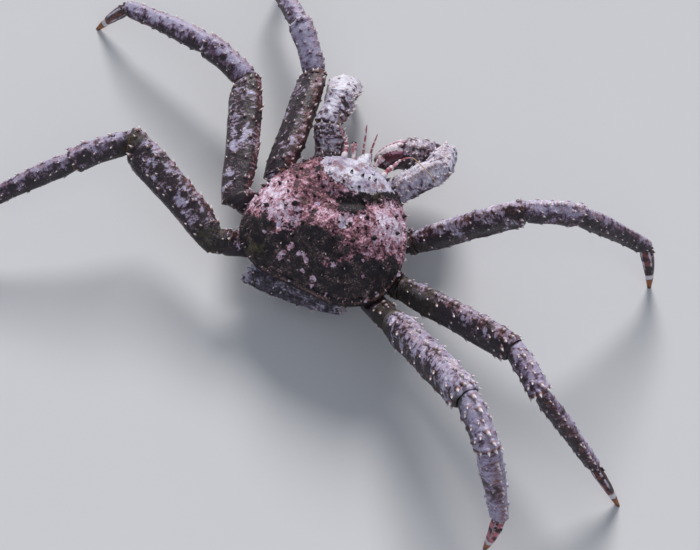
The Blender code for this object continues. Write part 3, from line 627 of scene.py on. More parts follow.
@dataclass(frozen=True)
class ShellFinish(Finish):
    """The back: near-black brown, under a curly pink crust and a lavender-white patch; the near-black is
    partly the shell's own colour and partly painted shade, and all are painted paler towards the key light,
    as painted light.
    """

    # Near-black to brown of the bare shell: partly its own colour, partly painted shade
    bare: Stops = (
        (0.4, (0.011, 0.009, 0.013)),
        (0.5, (0.028, 0.02, 0.025)),
        (0.58, (0.08, 0.052, 0.052)),
        (0.68, (0.22, 0.165, 0.175)),
    )
    crust: Stops = (
        (0.33, (0.06, 0.028, 0.038)),
        (0.4, (0.23, 0.09, 0.115)),
        (0.46, (0.48, 0.245, 0.31)),
        (0.52, (0.64, 0.45, 0.58)),
        (0.6, (0.87, 0.79, 0.92)),
    )
    patch: Stops = (
        (0.34, (0.33, 0.27, 0.37)),
        (0.44, (0.54, 0.5, 0.62)),
        (0.52, (0.72, 0.7, 0.8)),
        (0.62, (0.88, 0.87, 0.92)),
    )
    brown: Colour = (0.21, 0.085, 0.09)
    olive: Colour = (0.085, 0.072, 0.034)
    edge: Colour = (0.3, 0.15, 0.13)
    spine: Colour = (0.74, 0.56, 0.58)
    # Near-black: painted shade in the grooves and under the rim, and the colour of the dark spines and the
    # spots round their feet
    dark: Colour = (0.016, 0.011, 0.014)

    def paint(self, graph: Graph) -> None:
        """Lays the colours from the bare shell up: crust, patch, stains, painted shade in the grooves and
        under the rim, spines, and knobs with painted highlights on their tops.

        Args:
            graph: The material's nodes.
        """
        middle, fine = graph.cloud(0.0095, 6.0, 0.62), graph.cloud(0.0024, 4.0, 0.6)
        wide_curls, narrow_curls = graph.cloud(0.009, 2.0, 0.5, 1.4), graph.cloud(0.004, 2.0, 0.5, 0.8)
        curls = wide_curls.ridge() * 0.08 + narrow_curls.ridge() * 0.04
        speck = graph.grains(0.002)
        ragged = (middle - 0.5) * 2.6 + (fine - 0.5) * 1.6
        # Painted light and shade: the bare shell, crust and patch are painted paler where they face the key
        # light and darker where they face away
        lit = (graph.value("lit") - 0.6) * 0.05
        graph.colour = graph.ramp(middle * 0.55 + fine * 0.45 + lit + 0.02, self.bare)
        graph.coat((0.34 - speck).step(0.0, 0.2) * middle.step(0.48, 0.6) * 0.4, self.spine)
        # Raised folds and grains of the crust are painted paler: partly the crust's own colour, partly
        # painted highlight
        height = graph.value("fold") * 0.16 - 0.07
        tone = middle * 0.52 + fine * 0.36 + curls + height
        tone = tone + graph.value("pale") * 0.17 - graph.value("ruddy") * 0.05
        crust = graph.ramp(tone + lit * 1.5 - 0.015, self.crust)
        crust = graph.mix((speck - 0.55).step(0.0, 0.2) * fine.step(0.44, 0.58) * 0.45, crust, self.brown)
        covered = (graph.value("crust") + ragged).step(0.47, 0.55)
        graph.coat(covered, crust)
        freckled = (graph.value("freckle") * 0.5 + fine * 0.9 + (middle - 0.5) * 0.8).step(0.84, 0.92)
        patch = graph.ramp(graph.cloud(0.016, 5.0, 0.55) * 0.7 + fine * 0.3 + lit, self.patch)
        patch = graph.mix(freckled * 0.75, patch, self.brown)
        stained = (graph.value("stain") * 0.5 + fine * 0.7 + (middle - 0.5) * 0.8).step(0.66, 0.76)
        patch = graph.mix(stained * 0.7, patch, self.brown)
        smeared = (graph.value("patch") + ragged * 0.5).step(0.46, 0.54)
        graph.coat(smeared, patch)
        graph.coat((graph.value("olive") + ragged * 0.9).step(0.44, 0.9) * 0.6, self.olive)
        # Painted shade: the grooves and the underside below the rim darkened
        graph.coat(graph.value("hollow").step(0.1, 0.9) * (middle + fine).step(1.12, 0.9) * 0.75, self.dark)
        graph.coat((graph.value("edge") * 0.8 + ragged).step(0.6, 1.0) * 0.5, self.edge)
        # Dark spots round the feet of the dark spines
        graph.coat((graph.value("spot") + ragged * 0.4).step(0.34, 0.62) * 0.92, self.dark)
        graph.coat(graph.value("tip").step(0.35, 0.85), self.spine)
        # The dark spines
        graph.coat(graph.value("worn").step(0.1, 0.5), self.dark)
        # Knobs pale pink at the sides and whiter towards the top: the pink is their own colour, the whiter
        # tops a painted highlight
        knob = graph.value("knob")
        knob_colour_and_highlight = graph.ramp(tone + 0.07 + knob.step(0.3, 1.2) * 0.1, self.crust)
        graph.coat((knob + ragged * 0.35).step(0.36, 0.56), knob_colour_and_highlight)
        relief = fine * 0.7 + middle * 0.7 + curls * 1.6 * covered
        graph.dress(0.66 + (fine - 0.5) * 0.5 - smeared * 0.08, relief, 0.001, 0.32)


@dataclass(frozen=True)
class LimbFinish(Finish):
    """Limb shell: dark brown breaking into mauve and lavender, painted paler towards the key light and darker
    away from it, as painted light and shade.
    """

    dark: Colour = (0.026, 0.017, 0.024)
    brown: Colour = (0.09, 0.05, 0.056)
    mauve: Colour = (0.2, 0.142, 0.205)
    lavender: Colour = (0.39, 0.355, 0.5)
    white: Colour = (0.76, 0.73, 0.85)
    red: Colour = (0.23, 0.072, 0.055)
    belly: Colour = (0.4, 0.31, 0.31)
    spine: Colour = (0.78, 0.72, 0.76)
    root: Colour = (0.3, 0.13, 0.09)
    hinge: Colour = (0.33, 0.185, 0.08)
    horn: Colour = (0.18, 0.075, 0.03)
    olive: Colour = (0.062, 0.054, 0.034)
    contrast: float = 1.0
    paleness: float = 0.0
    redness: float = 0.0
    ribbed: float = 0.0

    def paint(self, graph: Graph) -> None:
        """Reads a scale from dark to white with noise, then lays on edges, stains, painted shade inside the
        sockets, spines and joints.

        Args:
            graph: The material's nodes.
        """
        broad, patchy = graph.cloud(0.026, 3.0), graph.cloud(0.012, 6.0, 0.58, 0.6)
        streak, fine = graph.cloud(0.0085, 6.0, 0.62, 0.3, weave=True), graph.cloud(0.0021, 4.0, 0.6)
        speck = graph.grains(0.0026)
        crest, lit, tip = (graph.value(name) for name in ("crest", "lit", "tip"))
        tone = broad * 0.4 + patchy * 0.72 + streak * 0.62 + fine * 0.22 - 0.98
        # Painted light and shade: paler where a surface faces the key light and darker where it faces away;
        # gloom darkens or pales a whole segment, partly as its own tone and partly as painted light and
        # shade, and on the leg bases as painted shade under the shell
        tone = tone * self.contrast + (lit - 0.28) * 0.14 - graph.value("gloom") * 0.08 + self.paleness + 0.5
        stops = (
            (0.425, self.dark),
            (0.465, self.brown),
            (0.495, self.mauve),
            (0.54, self.lavender),
            (0.6, self.lavender),
            (0.69, self.white),
        )
        graph.colour = graph.ramp(tone, stops)
        edge = (crest.step(0.55, 1.0) * 0.14 + fine * 0.5 + patchy * 0.4 + self.redness).step(0.55, 0.66)
        graph.coat(edge * 0.65, self.red)
        graph.coat((0.24 - speck).step(0.0, 0.08) * patchy.step(0.5, 0.58) * 0.5, self.white)
        graph.coat(crest.step(0.86, 0.97) * self.ribbed * patchy.step(0.36, 0.5), self.white)
        graph.coat((0 - crest).step(0.7, 0.98) * (patchy + broad).step(0.85, 1.1) * 0.8, self.belly)
        stained = (graph.value("olive") + (patchy - 0.5) * 1.5 + (fine - 0.5) * 0.6).step(0.44, 0.64)
        stain = graph.mix((fine * 0.6 + patchy * 0.4).step(0.43, 0.56), self.dark, self.olive)
        graph.coat(stained * 0.88, stain)
        # Painted shade inside the socket at the far end
        graph.coat(graph.value("hollow").step(0.1, 0.8) * 0.85, self.dark)
        graph.coat(graph.value("horn").step(0.2, 0.8), self.horn)
        graph.coat(tip.step(0.05, 0.25) * 0.75, self.root)
        graph.coat(tip.step(0.28, 0.6), self.spine)
        skin = graph.mix(patchy.step(0.42, 0.58), self.hinge, self.dark)
        graph.coat(graph.value("hinge").step(0.3, 0.7), skin)
        relief = fine * 0.7 + patchy * 0.6 + streak * 0.6 + stained * fine * 1.3
        graph.dress(0.46 + (fine - 0.5) * 0.6 + stained * 0.25, relief, 0.0008, 0.45)


@dataclass(frozen=True)
class ToeFinish(Finish):
    """Last segments: very dark maroon with pale ridges, a pale band and a horn-coloured tip."""

    ground: Colour = (0.022, 0.01, 0.014)
    light: Colour = (0.19, 0.05, 0.045)
    blush: Colour = (0.56, 0.17, 0.21)
    ridge: Colour = (0.56, 0.5, 0.62)
    band: Colour = (0.66, 0.62, 0.66)
    horn: Colour = (0.3, 0.1, 0.025)
    hinge: Colour = (0.3, 0.18, 0.13)

    def paint(self, graph: Graph) -> None:
        """Lays the bands along the toe over its ground, and the ridges between them.

        Args:
            graph: The material's nodes.
        """
        broad, fine = graph.cloud(0.01, 5.0, 0.62), graph.cloud(0.002, 3.0)
        along = graph.value("along") + (broad - 0.5) * 0.1
        graph.colour = graph.mix(broad.step(0.46, 0.62), self.ground, self.light)
        graph.coat(graph.value("blush") * (broad + along * 0.1).step(0.42, 0.56), self.blush)
        # Ridges painted paler where they face the key light: their own pale colour with a painted highlight
        streaks = (graph.value("rib") * 0.5 + broad * 0.6 + graph.value("lit") * 0.1).step(0.62, 0.8)
        graph.coat(streaks * (1 - along.step(0.45, 0.6)), self.ridge)
        graph.coat(along.step(0.62, 0.66) * (1 - along.step(0.73, 0.77)), self.band)
        graph.coat(along.step(0.75, 0.8), self.horn)
        graph.coat(along.step(0.9, 0.98) * 0.7, self.ground)
        graph.coat(graph.value("tip").step(0.3, 0.7), self.band)
        graph.coat(graph.value("hinge").step(0.3, 0.7), self.hinge)
        graph.dress(0.34 + fine * 0.25, fine * 0.5 + broad, 0.0005, 0.5)


@dataclass(frozen=True)
class AbdomenFinish(Finish):
    """Folded plates: dark purple-brown and knobbly, with paler grains and a ragged pale edge."""

    scale: Stops = (
        (0.4, (0.01, 0.008, 0.013)),
        (0.5, (0.034, 0.025, 0.038)),
        (0.58, (0.105, 0.086, 0.125)),
        (0.68, (0.36, 0.33, 0.42)),
    )
    cream: Colour = (0.45, 0.33, 0.28)
    spine: Colour = (0.62, 0.52, 0.58)

    def paint(self, graph: Graph) -> None:
        """Reads a scale with noise and the raised grains, paler at the edge and cream on the inner face.

        Args:
            graph: The material's nodes.
        """
        middle, fine = graph.cloud(0.011, 6.0, 0.62), graph.cloud(0.0024, 4.0)
        tone = middle * 0.6 + fine * 0.4 + graph.value("raised") * 0.09 + graph.value("edge") * 0.26 - 0.02
        graph.colour = graph.ramp(tone, self.scale)
        graph.coat(graph.value("inner"), self.cream)
        graph.coat(graph.value("tip").step(0.2, 0.7), self.spine)
        graph.dress(0.58 + (fine - 0.5) * 0.4, fine * 0.6 + middle * 0.6, 0.0009, 0.35)


@dataclass(frozen=True)
class BreastFinish(Finish):
    """Body under the shell: cream to rose, with painted shade in its seams and up its sides under the shell.
    """

    cream: Colour = (0.54, 0.41, 0.36)
    rose: Colour = (0.29, 0.16, 0.17)
    # The last two colours: painted shade in the seams and up the sides under the shell
    seam_shade: Colour = (0.07, 0.042, 0.04)
    side: Colour = (0.045, 0.03, 0.036)

    def paint(self, graph: Graph) -> None:
        """Layers from cream to the painted shade in the seams and on the sides.

        Args:
            graph: The material's nodes.
        """
        middle, fine = graph.cloud(0.012, 5.0), graph.cloud(0.0022, 4.0)
        graph.colour = graph.mix(middle.step(0.38, 0.64), self.rose, self.cream)
        # Painted shade in the seams between the plates
        graph.coat((graph.value("hollow") + (fine - 0.5) * 0.3).step(0.25, 0.9), self.seam_shade)
        # Painted shade up the sides, under the shell
        graph.coat((graph.value("side") + (middle - 0.5) * 0.8).step(0.1, 0.9) * 0.9, self.side)
        graph.dress(0.55 + (fine - 0.5) * 0.4, fine + middle * 0.5, 0.0007)


@dataclass(frozen=True)
class FeelerFinish(Finish):
    """Feelers and mouthparts: rose with white rings at the joints, fading along the whips."""

    rose: Colour = (0.42, 0.11, 0.13)
    pink: Colour = (0.6, 0.34, 0.4)
    white: Colour = (0.78, 0.72, 0.76)
    whip: Colour = (0.42, 0.3, 0.13)

    def paint(self, graph: Graph) -> None:
        """Lays the rings, the whips and the spine tips over the rose ground.

        Args:
            graph: The material's nodes.
        """
        middle, fine = graph.cloud(0.005, 5.0, 0.6), graph.cloud(0.0014, 3.0)
        # Pinker where a surface faces the key light: painted light
        graph.colour = graph.mix((middle + graph.value("lit") * 0.04).step(0.46, 0.62), self.rose, self.pink)
        graph.coat((graph.value("ring") + (middle - 0.5) * 1.2).step(0.4, 0.65), self.white)
        graph.coat(graph.value("whip"), self.whip)
        graph.coat(graph.value("tip").step(0.3, 0.7), self.white)
        graph.dress(0.4 + fine * 0.2, fine, 0.0003)


@dataclass(frozen=True)
class EyeFinish(Finish):
    """Eyes: a dark, glossy lens at the end of a rose and white stalk."""

    lens: Colour = (0.012, 0.008, 0.01)
    rose: Colour = (0.44, 0.17, 0.19)
    white: Colour = (0.74, 0.68, 0.73)

    def paint(self, graph: Graph) -> None:
        """Parts the lens from the stalk.

        Args:
            graph: The material's nodes.
        """
        middle, facets = graph.cloud(0.004, 5.0, 0.6), graph.grains(0.0005, 0.2)
        lens = (graph.value("lens") + (middle - 0.5) * 0.5).step(0.45, 0.55)
        graph.colour = graph.mix(middle.step(0.42, 0.56), self.rose, self.white)
        graph.coat(lens, self.lens)
        graph.dress(0.5 - lens * 0.38, facets * lens * 0.4 + middle * (1 - lens), 0.0002, 0.5)


@dataclass(frozen=True)
class FloorFinish(Finish):
    """Studio floor: pale and matt."""

    pale: Colour = (0.64, 0.645, 0.66)
    paler: Colour = (0.665, 0.668, 0.68)

    def paint(self, graph: Graph) -> None:
        """A faint, broad unevenness in an even paint.

        Args:
            graph: The material's nodes.
        """
        broad = graph.cloud(0.3, 2.0)
        graph.colour = graph.mix(broad, self.pale, self.paler)
        graph.dress(0.9, broad, 0.0001, 0.1)


class Tone(Enum):
    """The finishes that limb pieces come in."""

    LEG = LimbFinish("leg_shell")
    LEG_END = LimbFinish(
        "leg_end_shell",
        brown=(0.095, 0.056, 0.085),
        mauve=(0.21, 0.15, 0.24),
        contrast=0.48,
        paleness=0.008,
    )
    ARM = LimbFinish("arm_shell", paleness=0.03, lavender=(0.42, 0.39, 0.5))
    WHITE_CLAW = LimbFinish(
        "white_claw_shell",
        dark=(0.11, 0.05, 0.07),
        brown=(0.3, 0.19, 0.23),
        mauve=(0.5, 0.43, 0.51),
        lavender=(0.62, 0.59, 0.69),
        white=(0.78, 0.77, 0.83),
        red=(0.42, 0.17, 0.23),
        paleness=0.03,
        redness=-0.05,
    )
    MAUVE_CLAW = LimbFinish(
        "mauve_claw_shell",
        brown=(0.088, 0.052, 0.058),
        mauve=(0.205, 0.145, 0.18),
        lavender=(0.39, 0.34, 0.44),
        red=(0.23, 0.085, 0.085),
        paleness=-0.01,
        redness=-0.01,
    )
    FINGER = LimbFinish(
        "finger_shell",
        dark=(0.09, 0.02, 0.035),
        brown=(0.2, 0.045, 0.08),
        mauve=(0.38, 0.11, 0.19),
        lavender=(0.56, 0.34, 0.44),
        white=(0.78, 0.7, 0.76),
        red=(0.36, 0.08, 0.11),
        ribbed=1.0,
    )
    TOE = ToeFinish("toe_shell")


# Shell


@dataclass
class Carapace:
    """The back of the crab: a knobbly dome with a rolled rim, a beak and spines."""

    centre: tuple[float, float] = (0.0, -0.005)
    underside: float = 0.078
    rim: float = 0.0865
    rim_slope: float = -0.06
    rise: float = 0.05
    outline: Knots = (
        *((0, 83), (13, 82), (30, 83), (50, 83), (74, 87), (93, 93)),
        *((110, 101), (125, 105), (140, 101), (155, 94), (168, 87), (180, 85)),
    )
    # Lobes: middle x and y, radius along x and y, and rise
    lobes: tuple[Row, ...] = (
        *((0, -51, 30, 26, 10), (0, 23, 18, 17, 9), (-50, 12, 26, 40, 10)),
        *((50, 12, 26, 40, 10), (0, 62, 18, 10, 3)),
    )
    groove_depth: float = 0.007
    groove_width: float = 0.006
    neck_y: float = -0.016
    neck_curve: float = 10.0
    neck_reach: float = 0.055
    # Nearest distance from the middle line, the y of that place, curve and half length
    flank: Row = (0.023, 0.024, 6.0, 0.038)
    beak_root: Row = (0.0, -0.07, 0.1005)
    beak_tip: Row = (0.0, -0.0985, 0.1015)
    beak_radius: float = 0.0122
    # Three pairs of spinelets on the beak: share of its length, place and lean to the side, and length
    beak_spinelets: tuple[Row, ...] = (
        *((0.1, -8.5, -0.7, 8.5), (0.18, 8.0, 0.6, 7.0), (0.42, -5.5, -0.5, 6.0)),
        *((0.36, 6.0, 0.5, 7.0), (0.66, -2.0, -0.3, 5.0), (0.72, 2.6, 0.3, 4.5)),
    )
    cells: int = 262
    edge_share: float = 0.965
    edge_shares: Row = (0.973, 0.98, 0.986, 0.991, 0.995, 0.998, 0.9995)
    under_shares: Row = (1.0, 0.998, 0.992, 0.98, 0.96, 0.9, 0.8, 0.6, 0.3)
    under_levels: Row = (0.75, 0.45, 0.18, 0.04, 0.0, 0.0, 0.0, 0.0, 0.0)
    # Spines of the back and margin: how far apart and astray, how clear of knobs, and their sizes
    spacing: float = 0.0155
    stray: float = 0.005
    clearance: float = 0.0085
    back_length: float = 0.005
    margin_length: float = 0.0068
    spine_radius: float = 0.0027
    margin_count: int = 22
    crusts: tuple[Knots, ...] = (
        (
            *((112, 14), (108, -16), (90, -50), (62, -72), (34, -60), (17, -37), (-4, -34), (-20, -34)),
            *((-22, -28), (-9, -22), (-4, -14), (-6, -2), (-24, 4), (-30, 16), (-24, 27), (-8, 32)),
            *((6, 31), (16, 33), (32, 44), (47, 44), (65, 36), (87, 34), (104, 26)),
        ),
        (
            *((-28, -10), (-35, -29), (-54, -51), (-73, -62), (-97, -36), (-98, 2), (-80, 8), (-65, 26)),
            *((-50, 34), (-34, 45), (-27, 32), (-30, 16), (-24, 4)),
        ),
    )
    patch: Knots = (
        *((40, -56), (36, -92), (12, -106), (-2, -106), (-16, -100), (-33, -96), (-45, -94), (-48, -66)),
        *((-34, -41), (-22, -31), (-8, -31), (9, -32), (26, -38)),
    )
    pale: tuple[Row, ...] = (
        *((-62, -20, 16, 20), (80, -4, 15, 22), (44, 20, 15, 12)),
        *((60, 6, 14, 12), (2, 8, 12, 6), (-26, 6, 8, 8)),
    )
    ruddy: tuple[Row, ...] = (
        *((34, -8, 16, 20), (-50, 26, 26, 14), (-45, 2, 16, 12)),
        *((78, -40, 16, 14), (-10, 18, 18, 10)),
    )
    stain: tuple[Row, ...] = ((-4, -74, 9, 9), (-5, -60, 6, 6), (3, -90, 6, 6), (-36, -60, 6, 6))
    freckle: tuple[Row, ...] = ((20, -52, 20, 20), (0, -38, 24, 10), (-30, -52, 12, 12))
    olive: tuple[Row, ...] = ((-42, -39, 14, 7), (30, 4, 6, 4), (56, 66, 16, 7))
    bare: tuple[Row, ...] = (
        *((-12, -18, 22, 6), (34, -44, 8, 8), (86, 30, 24, 10)),
        *((-14, 34, 22, 6), (26, 32, 9, 7)),
    )
    # Which of the tables above the finish reads as blots
    blotches: tuple[str, ...] = ("pale", "ruddy", "stain", "freckle", "olive")
    # Pale knobs: x, y and radius
    knobs: tuple[Row, ...] = (
        *((21, 54, 4.6), (25, 62, 3.0), (27, 67, 3.0), (3, 56, 3.4), (-2, 60, 3.0), (8, 57, 2.6)),
        *((55, 51, 2.6), (43, 41, 2.8), (-32, 52, 3.0), (-16, 71, 3.6), (-18, 76, 2.6), (-3, 69, 2.4)),
        *((-60, 35, 2.2), (-67, 47, 1.8), (-86, 50, 2.4), (-94, 18, 2.4), (-94, -4, 2.4), (-77, 62, 1.8)),
        *((-36, 77, 2.0), (8, 78, 1.8), (-23, 10, 3.2), (14, -1, 2.2), (-36, -9, 2.6), (-17, -12, 2.0)),
        *((8, -19, 1.8), (-36, -19, 2.0)),
    )
    # Dark spines, each with a dark spot round its foot: x, y and how large
    worn: tuple[Row, ...] = (
        *((66, -8, 1.0), (66, 23, 1.2), (36, 13, 1.3), (20, -23, 1.0), (18, 27, 1.0), (-2, -23, 0.9)),
        *((-43, -9, 1.1), (-42, 23, 1.1), (-60, 7, 1.4), (-76, -19, 0.9), (-20, 27, 0.9), (-58, 21, 0.8)),
        *((21, -6, 0.8), (-29, 6, 0.8), (-18, 10, 0.6), (-40, 8, 0.7), (26, 17, 0.7), (-2, -51, 0.8)),
        *((-14, -54, 0.9), (0, -35, 0.7), (-18, -38, 0.8), (-21, -57, 0.6), (-27, -60, 0.7), (52, -22, 0.7)),
        *((86, 8, 0.7), (50, 2, 0.6), (-84, -6, 0.7), (-66, -36, 0.7)),
    )

    def reach(self, turn: Array) -> Array:
        """Distance from the centre to the margin, at a turn in radians from the head end."""
        degrees = np.degrees(turn) % 360.0
        return MM * through(np.minimum(degrees, 360.0 - degrees), self.outline)

    def place(self, turn: Array, share: Array) -> tuple[Array, Array]:
        """x and y at a share of the way out: centre + reach * share * (sin, -cos)."""
        away = self.reach(turn) * share
        return self.centre[0] + away * np.sin(turn), self.centre[1] - away * np.cos(turn)

    def share(self, x: Array, y: Array) -> Array:
        """Share of the way out from the centre to the margin."""
        turn = np.arctan2(x - self.centre[0], self.centre[1] - y)
        return np.hypot(x - self.centre[0], y - self.centre[1]) / self.reach(turn)

    def rim_height(self, y: Array) -> Array:
        """Height of the margin, which falls towards the tail."""
        return self.rim + self.rim_slope * y

    def grooves(self, x: Array, y: Array) -> Array:
        """Depth of the grooves from 0 to 1: a bell across each one's line, fading at its ends.

        Args:
            x: Places along x.
            y: Places along y.

        Returns:
            One value a point.
        """
        neck = (y - self.neck_y + self.neck_curve * x**2) / np.hypot(1.0, 2 * self.neck_curve * x)
        neck_cut = bell(neck, 0, self.groove_width) * np.exp(-((x / self.neck_reach) ** 4))
        nearest, middle, curve, half_length = self.flank
        flank = np.abs(x) - nearest - curve * (y - middle) ** 2
        flank_cut = 0.7 * bell(flank, 0, self.groove_width) * np.exp(-(((y - middle) / half_length) ** 4))
        return neck_cut + flank_cut

    def height(self, x: Array, y: Array) -> Array:
        """Height of the back: rim + rise * (1 - share^2.3)^0.6, plus lobes and less the grooves.

        Args:
            x: Places along x.
            y: Places along y.

        Returns:
            One height a point.
        """
        share = np.clip(self.share(x, y), 0.0, 1.0)
        swell = 0.0
        for centre_x, centre_y, radius_x, radius_y, rise in self.lobes:
            swell = swell + rise * MM * bell(x / MM, centre_x, radius_x) * bell(y / MM, centre_y, radius_y)
        relief = swell - self.groove_depth * self.grooves(x, y)
        return self.rim_height(y) + self.rise * (1 - share**2.3) ** 0.6 + relief * (1 - share**4)

    def on_top(self, x: Array, y: Array) -> Array:
        """Points of the back over x and y."""
        return np.stack([x, y, self.height(x, y)], axis=-1)

    def normal(self, x: Array, y: Array) -> Array:
        """Outward directions of the back, from its slopes over a millimetre to each side."""
        steps = (self.height(x + a, y + b) - self.height(x - a, y - b) for a, b in ((MM, 0), (0, MM)))
        return unit(np.stack([*(-step / (2 * MM) for step in steps), np.ones_like(x)], axis=-1))

    def dome(self) -> Skin:
        """The closed shell.

        A square grid u, v is pressed into a disc, x = u sqrt(1 - v^2/2), y = v sqrt(1 - u^2/2), and the
        disc into the outline. Rings from the grid's border roll over the rim and close underneath.

        Returns:
            The skin, facing outwards.
        """
        line = np.linspace(-1.0, 1.0, self.cells)
        u, v = np.meshgrid(line, line, indexing="ij")
        disc_x, disc_y = u * np.sqrt(1 - v**2 / 2), v * np.sqrt(1 - u**2 / 2)
        turn, share = np.arctan2(disc_x, disc_y), np.hypot(disc_x, disc_y) * self.edge_share
        top = self.on_top(*self.place(turn, share)).reshape(-1, 3)
        index = np.arange(self.cells**2).reshape(self.cells, self.cells)
        quads = np.stack([index[:-1, :-1], index[1:, :-1], index[1:, 1:], index[:-1, 1:]], axis=-1)
        border = np.concatenate([index[:-1, 0], index[-1, :-1], index[:0:-1, -1], index[0, :0:-1]])
        around = turn.reshape(-1)[border]
        loops = [self.on_top(*self.place(around, edge)) for edge in self.edge_shares]
        for edge, level in zip(self.under_shares, self.under_levels):
            x, y = self.place(around, edge)
            z = self.underside + (self.rim_height(y) - self.underside) * level
            loops.append(np.stack([x, y, z], axis=-1))
        rings = np.concatenate(loops)
        rows = [border, *(len(top) + np.arange(len(rings)).reshape(len(loops), -1))]
        strips = [np.stack([a, np.roll(a, -1), np.roll(b, -1), b], axis=-1) for a, b in zip(rows, rows[1:])]
        points = np.concatenate([top, rings, [[*self.centre, self.underside]]])
        fan = np.stack([rows[-1], np.roll(rows[-1], -1), np.full(len(border), len(points) - 1)], axis=-1)
        return Skin(points, np.concatenate([quads.reshape(-1, 4), *strips]), fan).facing_out()

    def crusted(self, x: Array, y: Array) -> Array:
        """How far inside the crusts' outlines each place lies."""
        return np.maximum(*(within(x, y, outline) for outline in self.crusts))

    def back_spines(self) -> tuple[Skin, Array, Array]:
        """Spines over the back: the dark ones, then staggered rows between them, strayed and thinned.

        Returns:
            The spines, with their feet and radii.
        """
        draws = np.random.default_rng(5)
        rows = np.arange(-0.084, 0.09, self.spacing * 0.866)
        columns = np.arange(-7, 8) * self.spacing
        x = (columns[None, :] + 0.5 * self.spacing * (np.arange(len(rows)) % 2)[:, None]).ravel()
        y = np.repeat(rows, len(columns)) + draws.uniform(-self.stray, self.stray, len(x))
        x = x + draws.uniform(-self.stray, self.stray, len(x))
        fixed, bumps = np.array(self.worn).T, np.array(self.knobs).T
        taken = np.concatenate([fixed[:2], bumps[:2]], axis=1) * MM
        apart = np.hypot(x[:, None] - taken[0], y[:, None] - taken[1]).min(axis=1)
        kept = (apart > self.clearance) & (self.share(x, y) < 0.9) & (np.hypot(x, y + 0.09) > 0.017)
        kept &= draws.random(len(x)) > 0.12
        x, y = np.r_[fixed[0] * MM, x[kept]], np.r_[fixed[1] * MM, y[kept]]
        count, old = len(x), np.arange(len(x)) < len(fixed[0])
        crusted = self.crusted(x, y) > 0.5
        sizes = draws.uniform(0.45, 1.05, count) * np.where(crusted, 0.8, 1.0)
        sizes[old] = 0.85 * fixed[2]
        lean = np.stack([x, y + 0.02, np.zeros(count)], axis=-1) * 4.0
        feet, radii = self.on_top(x, y), sizes * self.spine_radius
        made = spines(feet, unit(self.normal(x, y) + lean), 0.1 * lean, sizes * self.back_length, radii)
        each = len(made.points) // count
        tip = made.values["tip"]
        # The listed spines are dark nearly from the root
        made.values["worn"] = np.repeat(old, each) * smooth(tip, -0.1, 0.2)
        made.values["tip"] = tip * np.repeat(np.where(crusted, 0.75, draws.uniform(0.5, 1.0, count)), each)
        for key, found in (("crust", crusted), ("patch", within(x, y, self.patch))):
            made.values[key] = np.repeat(found.astype(float), each) * (1 - 0.3 * tip)
        return made, feet, radii

    def margin_spines(self) -> tuple[Skin, Array, Array]:
        """Spines along both sides of the margin, longest at the head's corners.

        Returns:
            The spines, with their feet and radii.
        """
        draws = np.random.default_rng(7)
        count = 2 * self.margin_count
        degrees = np.tile(np.linspace(24.0, 164.0, self.margin_count), 2) + draws.uniform(-3, 3, count)
        turns = np.radians(degrees * np.repeat((-1, 1), self.margin_count))
        x, y = self.place(turns, np.full(count, 0.968))
        outward = np.stack([np.sin(turns), -np.cos(turns), np.zeros(count)], axis=-1)
        sizes = draws.uniform(0.45, 1.0, count) * (1.1 - 0.5 * degrees / 180)
        feet, aim = self.on_top(x, y), unit(self.normal(x, y) + 1.2 * outward)
        radii = sizes * self.spine_radius
        return spines(feet, aim, 0.15 * outward, sizes * self.margin_length, radii), feet, radii

    def beak(self) -> Skin:
        """The beak between the eyes: a tube that tapers as (1 - s)^0.55, with three pairs of spinelets.

        Returns:
            The beak's skin.
        """
        s = np.linspace(0.0, 1.0, 40)[:, None]
        turns = ring(44)[None, :]
        root, tip = np.array(self.beak_root), np.array(self.beak_tip)
        axis = unit(tip - root)
        over = unit(UP - axis * axis[2])
        side = np.cross(axis, over)
        radius = self.beak_radius * (1 - s) ** 0.55 + 0.0002
        line = root + (tip - root) * s[..., None] + over * (0.002 * np.sin(math.pi * s))[..., None]
        wide, tall = radius * np.cos(turns), 0.85 * radius * np.sin(turns)
        horn = tube(line + wide[..., None] * side + tall[..., None] * over, {"along": s})
        lumps = 1.6 * fractal(horn.points, 0.009, 3, 13) + 2.0 * pebbles(horn.points, 0.0065, 15) - 0.8
        horn.swell(MM * lumps * smooth(1 - horn.values["along"], 0.0, 0.25))
        shares, places, leans, lengths = np.array(self.beak_spinelets).T[:, :, None]
        feet = root + (tip - root) * shares + side * MM * places + over * 0.0045
        away = unit(0.8 * over + 0.7 * axis + side * leans)
        lengths = MM * lengths[:, 0]
        small = spines(feet, away, np.tile(0.1 * axis, (len(feet), 1)), lengths, 0.44 * lengths)
        both = joined([horn, small])
        both.values["patch"] = np.ones(len(both.points))
        return both

